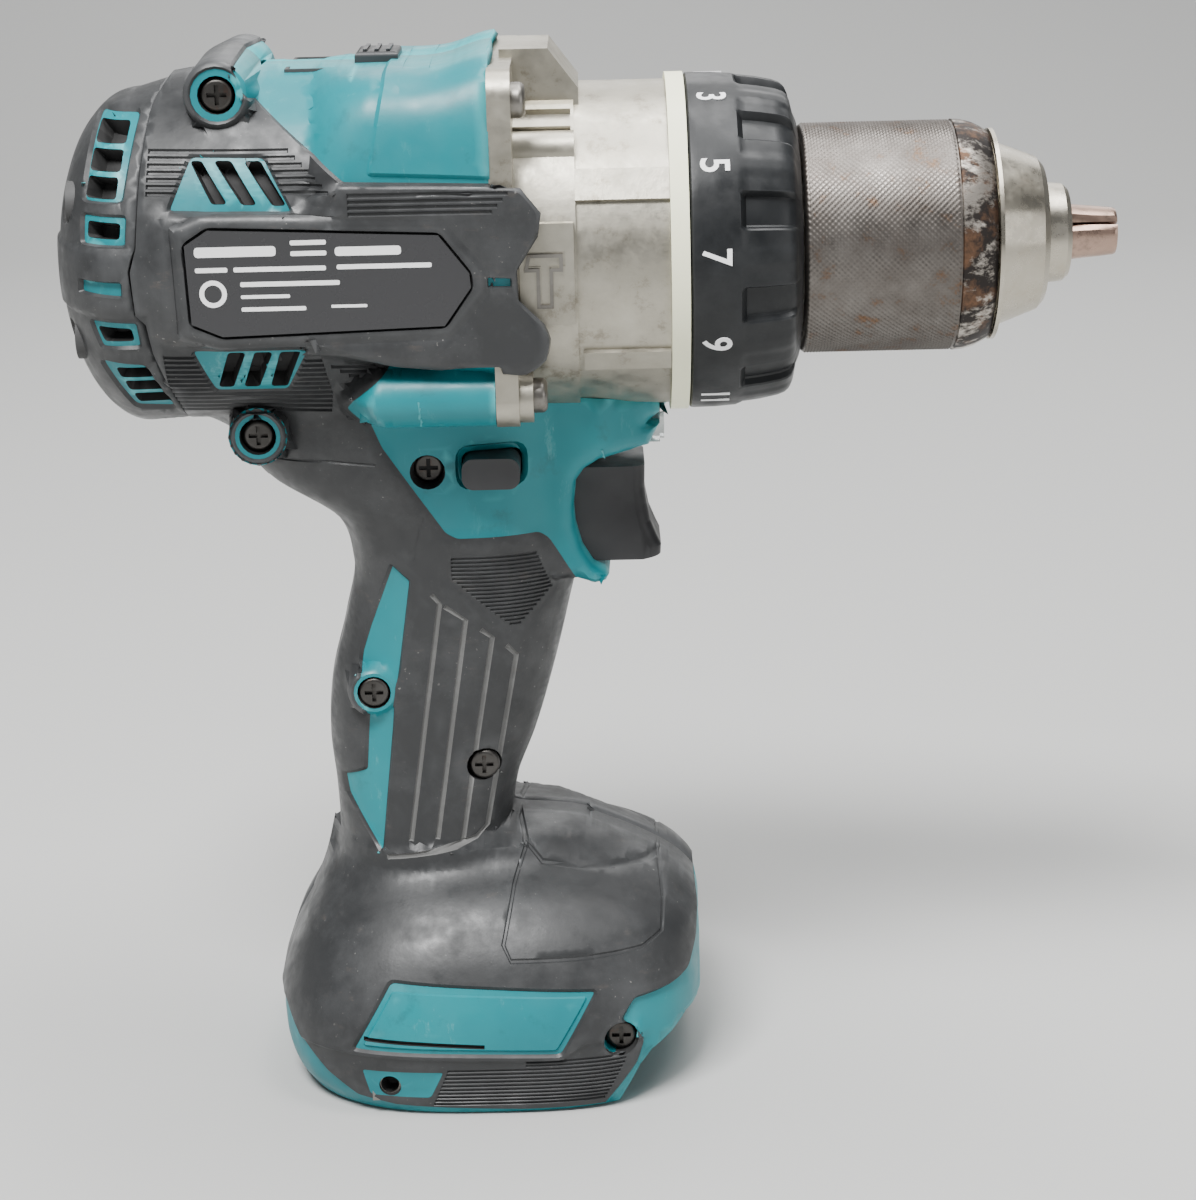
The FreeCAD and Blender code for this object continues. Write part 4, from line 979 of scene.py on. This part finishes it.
# a darker copy of the screw steel: painted shade on the housing screws, deep in their holes
SHADED_SCREW_STEEL = metal("screw_steel_painted_shade", (0.10, 0.095, 0.09), (0.05, 0.047, 0.043), 0.4, 0.15, 900.0,
                   (0.09, 0.06, 0.05))
INNER = metal("inner_steel", (0.46, 0.46, 0.46), (0.34, 0.34, 0.34), 0.33, 0.1, 900.0)
COPPER = metal("copper_wire", (0.62, 0.30, 0.16), (0.45, 0.20, 0.10), 0.35, 0.3, 1200.0)
BRASS = metal("contact_brass", (0.72, 0.55, 0.26), (0.55, 0.42, 0.2), 0.3, 0.1)
BOARD = plain_plastic("circuit_board", (0.01, 0.10, 0.045), 0.4, 0.3)
LEAD = plain_plastic("lead_insulation", (0.25, 0.02, 0.015), 0.5, 0.1)
FLOOR = floor_paint()
BAND = worn_band()
LENS = clear_lens()

# the "dark" slot carries the painted recess shade
SIDE_SLOTS = {"rubber": GRIP, "teal": TEAL, "dark": RECESS_SHADE, "grey": LIGHT_GREY}


# ---- pieces --------------------------------------------------------------------------------
def housing():
    samples = body_samples()
    window = (-80.0, 22.0, -1.5, 190.0)
    outlines = (BODY_CLIP, ARM_FRONT, LEVER_LINES, *creases())
    opening = (*LEVER_SLOT, 176.0, 190.0, 9.5)
    for node, mirror, screws in (("housing_left", False, False), ("housing_right", True, True)):
        built = skin(body_width, in_body, outlines, body_regions(screws), samples, window,
                     SIDE_SLOTS, opening)
        obj = side_object(node + "_shell", built, mirror, SIDE_SLOTS)
        thicken(obj, SHELL_WALL)
        cut_away(obj, prism("window", rounded(LEVER_WINDOW, 2.0, 6), -40.0, 40.0, [TEAL]))
        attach(obj, "housing")
        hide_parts(node)


def tube(name, x0, x1, outer, inner, y, rise):
    """Tube along x, at y and this far above the spindle axis."""
    obj = lathe(name, ((x0, outer), (x1, outer), (x1, inner), (x0, inner)), 28, [RECESS_SHADE], [0] * 4)
    obj.data.transform(Matrix.Translation(Vector((0, y, rise)) * MM))
    outward(obj)
    return obj


def rear_cover():
    """Both sides of the rear cover, joined along the middle and pierced for its screws."""
    built = skin(cover_width, in_cover, (COVER_CLIP,), cover_regions(), cover_samples(),
                 (-94.0, -68.0, 118.0, 184.0), SIDE_SLOTS)
    left = side_object("rear_cover_left", built, False, SIDE_SLOTS)
    right = side_object("rear_cover_right", built, True, SIDE_SLOTS)
    merged = bmesh.new()
    merged.from_mesh(left.data)
    merged.from_mesh(right.data)
    bmesh.ops.remove_doubles(merged, verts=[v for v in merged.verts if abs(v.co.y) < 0.06 * MM],
                             dist=0.11 * MM)
    merged.to_mesh(left.data)
    merged.free()
    bpy.data.objects.remove(right)
    left.name = "rear_cover_shell"
    left.data.set_sharp_from_angle(angle=math.radians(35))
    thicken(left, SHELL_WALL)
    cutters = []
    for y, rise in COVER_SCREWS:
        cutters.append(tube("cutter", -100.0, -84.0, 3.3, 0.001, y, rise))
        # the wells are in the near-black recess material: painted shade inside them
        well = tube("cover_screw_well", -88.6, -83.6, 3.9, 3.25, y, rise)
        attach(well, "housing")
    cut_away(left, *cutters)
    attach(left, "housing")
    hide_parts("rear_cover")


def battery_bay():
    """The foot's floor, with the rails and walls that the battery slides into."""
    heights = (0.0, 3.5, 7.0, 11.0, 14.4)
    around = 96
    inset = 1.5             # inside the shell
    points = []
    for z in heights:
        back, front, half, power = [float(along(FOOT, z, c)) for c in (1, 2, 3, 4)]
        for k in range(around):
            angle = 2 * math.pi * k / around
            c, s = math.cos(angle), math.sin(angle)
            reach = (front - back) / 2 - inset
            x = (back + front) / 2 + reach * math.copysign(abs(c) ** (2 / power), c)
            points.append((x, (half - inset) * math.copysign(abs(s) ** (2 / power), s), z))
    faces = [tuple(range(around)),
             tuple(range((len(heights) - 1) * around, len(heights) * around))[::-1]]
    faces += band_faces(0, len(heights), around, closed=False)
    floor = mesh_object("battery_bay", points, faces, [TEAL])
    outward(floor)
    wide = block("wide", -46.0, 60.0, -33.5, 33.5, 4.4, 9.6, [TEAL])
    narrow = block("narrow", -46.0, 60.0, -29.5, 29.5, -2.0, 5.0, [TEAL])
    slant = prism("slant", ((1.9, -3.0), (2.1, 0.0), (3.6, 3.3), (6.0, 7.7), (8.2, 9.9),
                            (12.1, 11.8), (15.0, 13.9), (40.0, 13.9), (40.0, -3.0)), -60.0, 60.0,
                  [TEAL])
    pocket = block("pocket", -48.6, -17.4, -17.8, 17.8, -2.0, 20.0, [TEAL])
    wells = [prism("well", circle(x, z, r), y0, y1, [RECESS_SHADE]) for x, z, r, y0, y1 in (
        (2.7, 13.2, 3.2, -60.0, -30.0), (-39.0, 5.7, 2.3, -60.0, -33.0),
        (-39.0, 5.7, 2.3, 33.0, 60.0))]
    cut_away(floor, wide, narrow, slant, pocket, *wells)
    floor.data.set_sharp_from_angle(angle=math.radians(35))
    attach(floor, "housing")


def lever_tray():
    """The slot under the speed lever, open at the top; its near-black recess material is painted
    shade inside the slot.
    """
    x0, x1 = LEVER_SLOT
    tray = block("lever_tray", x0 - 0.7, x1 + 0.7, -10.2, 10.2, 180.6, 183.3, [RECESS_SHADE])
    cut_away(tray, block("inner", x0, x1, -9.5, 9.5, 181.6, 190.0, [RECESS_SHADE]))
    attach(tray, "housing")


NOTCH_COUNT = 11
NOTCH_FIRST = math.radians(70.8)


def collar():
    """Torque collar: a band for the numbers, and grip lobes between flat scallops."""
    outer = ((17.4, 29.0), (17.7, 29.45), (18.2, 29.5), (22.0, 29.45), (25.4, 29.2), (26.2, 29.1),
             (26.8, 29.0), (30.0, 28.6), (33.0, 28.0), (34.3, 27.5), (35.0, 26.9), (35.5, 25.8),
             (36.2, 22.6), (36.8, 21.2))
    inner = ((36.8, 20.6), (33.0, 20.6), (33.0, 25.2), (17.4, 25.2))
    rows = []
    for (xa, ra), (xb, rb) in zip(outer, outer[1:]):
        parts = max(1, int(math.ceil((xb - xa) / 0.8)))
        rows += [(xa + (xb - xa) * k / parts, ra + (rb - ra) * k / parts) for k in range(parts)]
    rows += [outer[-1], *inner]

    def radius(x, angle, r):
        pitch = 2 * math.pi / NOTCH_COUNT
        off = np.abs((angle - NOTCH_FIRST + pitch / 2) % pitch - pitch / 2)
        across = 1 - step(math.radians(5.2), math.radians(6.6), off)
        lengthwise = step(25.9, 26.7, x)
        outside = r > 25.4
        ease = 1 - step(math.radians(11.0), math.radians(15.0), off)
        depth = (1.5 * across + 0.25 * ease) * lengthwise
        return np.where(outside, np.maximum(r - depth, 24.6), r)

    ring = lathe("torque_collar_body", rows, 44 * 12, [COLLAR], [0] * len(rows), radius, 28.0)
    outward(ring)
    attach(ring, "torque_collar")
    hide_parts("torque_collar")


def wrap_marks(name, shapes, body, radius_low, radius_high):
    """Flat marks laid round the axis as thin raised solids; drawn as (along the arc, along x)."""
    work = bmesh.new()
    for x0, angle, verts, faces in shapes:
        rings = []
        for r in (radius_high, radius_low):
            ring = []
            for across, up in verts:
                turn = angle + across / radius_high
                place = Vector((x0 + up, -r * math.sin(turn), AXIS + r * math.cos(turn)))
                ring.append(work.verts.new(place * MM))
            rings.append(ring)
        outline_edges = {}
        for face in faces:
            for a, b in zip(face, face[1:] + face[:1]):
                outline_edges[(a, b)] = outline_edges.get((b, a), 0) + 1
            work.faces.new([rings[0][k] for k in face])
            work.faces.new([rings[1][k] for k in face][::-1])
        used = set(outline_edges)
        for a, b in used:
            if (b, a) not in used:
                work.faces.new((rings[0][b], rings[0][a], rings[1][a], rings[1][b]))
    bmesh.ops.recalc_face_normals(work, faces=work.faces)
    mesh = bpy.data.meshes.new(name)
    work.to_mesh(mesh)
    work.free()
    mesh.materials.append(WHITE)
    obj = bpy.data.objects.new(name, mesh)
    bpy.context.scene.collection.objects.link(obj)
    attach(obj, body)


def glyph(text, size, thicken_by=0.0):
    """Flat triangles of a text, centred, in millimetres."""
    curve = bpy.data.curves.new("glyph", "FONT")
    curve.body = text
    curve.size = size
    curve.offset = thicken_by
    curve.resolution_u = 4
    obj = bpy.data.objects.new("glyph", curve)
    bpy.context.scene.collection.objects.link(obj)
    bpy.context.view_layer.update()
    mesh = bpy.data.meshes.new_from_object(obj.evaluated_get(bpy.context.evaluated_depsgraph_get()))
    work = bmesh.new()
    work.from_mesh(mesh)
    bmesh.ops.remove_doubles(work, verts=work.verts, dist=0.001)
    bmesh.ops.triangulate(work, faces=work.faces)
    verts = np.array([(v.co.x, v.co.y) for v in work.verts])
    work.verts.index_update()
    faces = [[v.index for v in f.verts] for f in work.faces]
    work.free()
    bpy.data.objects.remove(obj)
    verts -= (verts.min(axis=0) + verts.max(axis=0)) / 2
    return verts, faces


def collar_marks():
    shapes = []
    for k in range(11):
        verts, faces = glyph(str(2 * k + 1), 7.0, 0.10)
        verts = verts * (0.86, 1.0)
        shapes.append((21.7, math.radians(-6.3 + 30.9 * k), verts, faces))
    drill = np.array([(-0.7, -2.6), (0.7, -2.6), (0.7, 0.2), (2.1, 0.2), (0.0, 2.8), (-2.1, 0.2),
                      (-0.7, 0.2)])
    hammer = np.array([(-0.5, -2.6), (0.5, -2.6), (0.5, 0.6), (1.9, 0.6), (1.9, 2.2), (-1.4, 2.2),
                       (-2.2, 1.0), (-0.5, 0.6)])
    shapes.append((21.7, math.radians(-41.0), drill, [[0, 1, 2], [0, 2, 6], [3, 4, 2], [2, 4, 6],
                                                      [6, 4, 5]]))
    shapes.append((21.7, math.radians(-23.5), hammer, [[0, 1, 2], [0, 2, 7], [2, 3, 4], [2, 4, 7],
                                                       [7, 4, 5], [7, 5, 6]]))
    wrap_marks("collar_numbers", shapes, "torque_collar", 29.54, 29.2)


KNURLS = 120


def sleeve():
    """Chuck sleeve: a diamond knurl cut into the steel, and the worn plain band in front of it."""
    pitch = 2 * math.pi * 20.3 / KNURLS
    start, count = 38.2, 96
    end = start + count * pitch / 4
    rows = [(37.2, 19.2), (37.5, 19.8), (37.9, 20.1)]
    rows += [(start + k * pitch / 4, 20.3) for k in range(count + 1)]
    rows += [(end + 0.15, 20.0), (end + 0.5, 20.0), (end + 0.7, 20.35), (66.2, 20.2), (68.0, 19.7),
             (69.6, 18.9), (70.5, 18.3), (70.5, 17.2), (66.0, 17.2), (66.0, 18.75), (37.2, 18.75)]

    def radius(x, angle, r):
        turn = angle / (2 * math.pi) * KNURLS
        length = (x - start) / pitch
        waves = [1 - np.abs(((turn + sign * length) % 1.0) - 0.5) * 2 for sign in (1, -1)]
        deep = np.minimum(waves[0], waves[1])
        knurled = (x >= start - 0.01) & (x <= end + 0.01) & (r > 20.2)
        return np.where(knurled, r - 0.34 * (1 - deep), r)

    plain = 3 + count + 2
    slots = [0 if k < plain else 1 for k in range(len(rows))]
    ring = lathe("chuck_sleeve_knurled", rows, KNURLS * 4, [KNURL, BAND], slots, radius, 60.0)
    outward(ring)
    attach(ring, "chuck_sleeve")
    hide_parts("chuck_sleeve")


# left, right, middle height and thickness of the plain bars on the rating labels
LABEL_BARS = (
    (-65.4, -51.8, 155.9, 1.7), (-49.4, -43.4, 157.2, 0.8), (-49.4, -43.4, 155.4, 0.8),
    (-42.0, -31.0, 155.6, 1.5), (-65.4, -60.0, 152.9, 0.8), (-59.0, -43.6, 152.9, 0.8),
    (-41.8, -26.0, 153.0, 0.8), (-58.0, -41.4, 150.4, 0.8), (-58.0, -49.8, 148.3, 0.6),
    (-58.0, -47.2, 146.2, 0.7), (-43.0, -37.0, 146.4, 0.5),
)


def label_marks():
    """Blank bars and a plain ring where a rating label has its print."""
    points = []
    faces = []
    shapes = [rounded(((x0, z - t / 2), (x0, z + t / 2), (x1, z + t / 2), (x1, z - t / 2)), t * 0.4)
              for x0, x1, z, t in LABEL_BARS]
    for side in (-1, 1):
        y = side * (LABEL_FACE + 0.04)
        for outline in shapes:
            first = len(points)
            count = len(outline)
            points += [(x, y, z) for x, z in outline] + [(x, y - side * 0.3, z) for x, z in outline]
            faces.append(tuple(range(first, first + count)))
            faces.append(tuple(range(first + 2 * count - 1, first + count - 1, -1)))
            faces += [(first + k, first + (k + 1) % count, first + (k + 1) % count + count,
                       first + k + count) for k in range(count)]
        rings = [[(x, y - side * sink, z) for x, z in circle(-62.6, 148.9, r, 28)]
                 for r, sink in ((2.3, 0.3), (2.3, 0.0), (1.5, 0.0), (1.5, 0.3))]
        first = len(points)
        points += [p for ring in rings for p in ring]
        faces += band_faces(first, 4, 28)
    marks = mesh_object("label_marks", points, faces, [WHITE])
    outward(marks)
    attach(marks, "housing")


HAMMER_X, HAMMER_Z = -7.0, 149.5


def pictogram():
    """A raised outline of a plain hammer on the flat boss of the gear case."""
    hammer = ((-2.9, 4.0), (2.5, 4.0), (2.5, 1.6), (0.8, 1.6), (0.8, -4.6), (-1.4, -4.6),
              (-1.4, 1.6), (-3.4, 1.6))
    outer, inner = grown(hammer, 0.3), grown(hammer, -0.3)
    points = []
    faces = []
    for side in (-1, 1):
        first = len(points)
        for outline, y in ((outer, 29.7), (outer, 30.5), (inner, 30.5), (inner, 29.7)):
            points += [(HAMMER_X + x, side * y, HAMMER_Z + z) for x, z in outline]
        faces += band_faces(first, 4, len(hammer))
    mark = mesh_object("hammer_mark", points, faces, [STEEL])
    outward(mark)
    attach(mark, "housing")


def studio_floor():
    """Plain pale floor that sweeps up behind the tool."""
    path = [(-1600.0, -0.2), (900.0, -0.2)]
    path += [(900.0 + 500.0 * math.sin(math.radians(a)), 499.8 - 500.0 * math.cos(math.radians(a)))
             for a in range(6, 91, 6)]
    path.append((1400.0, 2200.0))
    points = [(x, y, z) for y, z in path for x in (-2200.0, 2200.0)]
    faces = [(2 * k, 2 * k + 1, 2 * k + 3, 2 * k + 2) for k in range(len(path) - 1)]
    sweep = mesh_object("floor", points, faces, [FLOOR], smooth=60.0)


housing()
rear_cover()
battery_bay()
lever_tray()
collar()
collar_marks()
sleeve()
label_marks()
pictogram()
studio_floor()

# ---- finishes, camera and light ------------------------------------------------------------
FINISHES = {
    "gear_case": CAST, "label_plates": GLOSS, "trigger": BLACK, "direction_lever": BLACK,
    "speed_lever": BLACK, "indicator_ring": CREAM, "chuck_body": NOSE, "jaw_1": JAW, "jaw_2": JAW,
    # the housing screws take the darker steel as painted shade
    "jaw_3": JAW, "led_lens": LENS, "housing_screws": SHADED_SCREW_STEEL, "rear_cover_screws": STEEL,
    "gear_case_screws": STEEL, "hook_nuts": STEEL, "terminal_block": BLACK,
    "terminal_blades": BRASS, "wiring": LEAD, "controller": BOARD, "sensor_board": BOARD,
    "stator_windings": COPPER, "fan": BLACK, "switch_body": BLACK, "trigger_plunger": BLACK,
    "shift_yoke": BLACK, "clutch_nut": BLACK,
}
for node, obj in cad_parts.items():
    obj.data.materials.clear()
    obj.data.materials.append(FINISHES.get(node, INNER))
for node in ("gear_case", "trigger", "direction_lever", "speed_lever", "terminal_block",
             "indicator_ring"):
    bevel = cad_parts[node].modifiers.new("soft_edges", "BEVEL")
    bevel.width = 0.35 * MM
    bevel.segments = 2
    bevel.limit_method = "ANGLE"
    bevel.angle_limit = math.radians(40)
    bevel.harden_normals = True

cam = bpy.data.cameras.new("camera")
camera = bpy.data.objects.new("camera", cam)
bpy.context.scene.collection.objects.link(camera)
bpy.context.scene.camera = camera
TILT = math.radians(16.4)
ROLL = math.radians(1.35)
DISTANCE = 533.7        # mm from the eye to the point that it looks at
target = Vector((0.35, 0.0, AXIS - 66.1)) * MM
eye = target + Vector((0, -math.cos(TILT), math.sin(TILT))) * DISTANCE * MM
forward = (target - eye).normalized()
right = Vector((1, 0, 0))
up = right.cross(forward)
right2 = right * math.cos(ROLL) - up * math.sin(ROLL)
up2 = up * math.cos(ROLL) + right * math.sin(ROLL)
camera.matrix_world = Matrix((
    (right2.x, up2.x, -forward.x, eye.x), (right2.y, up2.y, -forward.y, eye.y),
    (right2.z, up2.z, -forward.z, eye.z), (0, 0, 0, 1)))
cam.sensor_fit = "VERTICAL"
cam.sensor_height = 36.0
cam.lens = 87.0         # mm, fitted to the photograph's perspective
cam.clip_start = 0.01


def area_light(name, place, size, power):
    """Soft light that faces the middle of the tool; metres and watts."""
    data = bpy.data.lights.new(name, "AREA")
    data.shape = "RECTANGLE"
    data.size, data.size_y = size
    data.energy = power
    obj = bpy.data.objects.new(name, data)
    obj.location = place
    obj.rotation_euler = (Vector(LIGHT_AIM) - Vector(place)).to_track_quat("-Z", "Y").to_euler()
    bpy.context.scene.collection.objects.link(obj)


LIGHT_AIM = (0, 0, 0.09)
area_light("key", (-0.28, -0.50, 1.05), (0.50, 0.30), 24.0)
area_light("top", (0.20, 0.10, 1.10), (0.9, 0.4), 12.0)
area_light("fill", (0.9, -0.8, 0.30), (0.6, 0.9), 3.0)
area_light("back", (0.2, 0.9, 0.7), (0.9, 0.6), 4.0)
world = bpy.data.worlds.new("studio")
world.use_nodes = True
world.node_tree.nodes["Background"].inputs[0].default_value = (0.80, 0.82, 0.85, 1)
world.node_tree.nodes["Background"].inputs[1].default_value = 0.28
bpy.context.scene.world = world
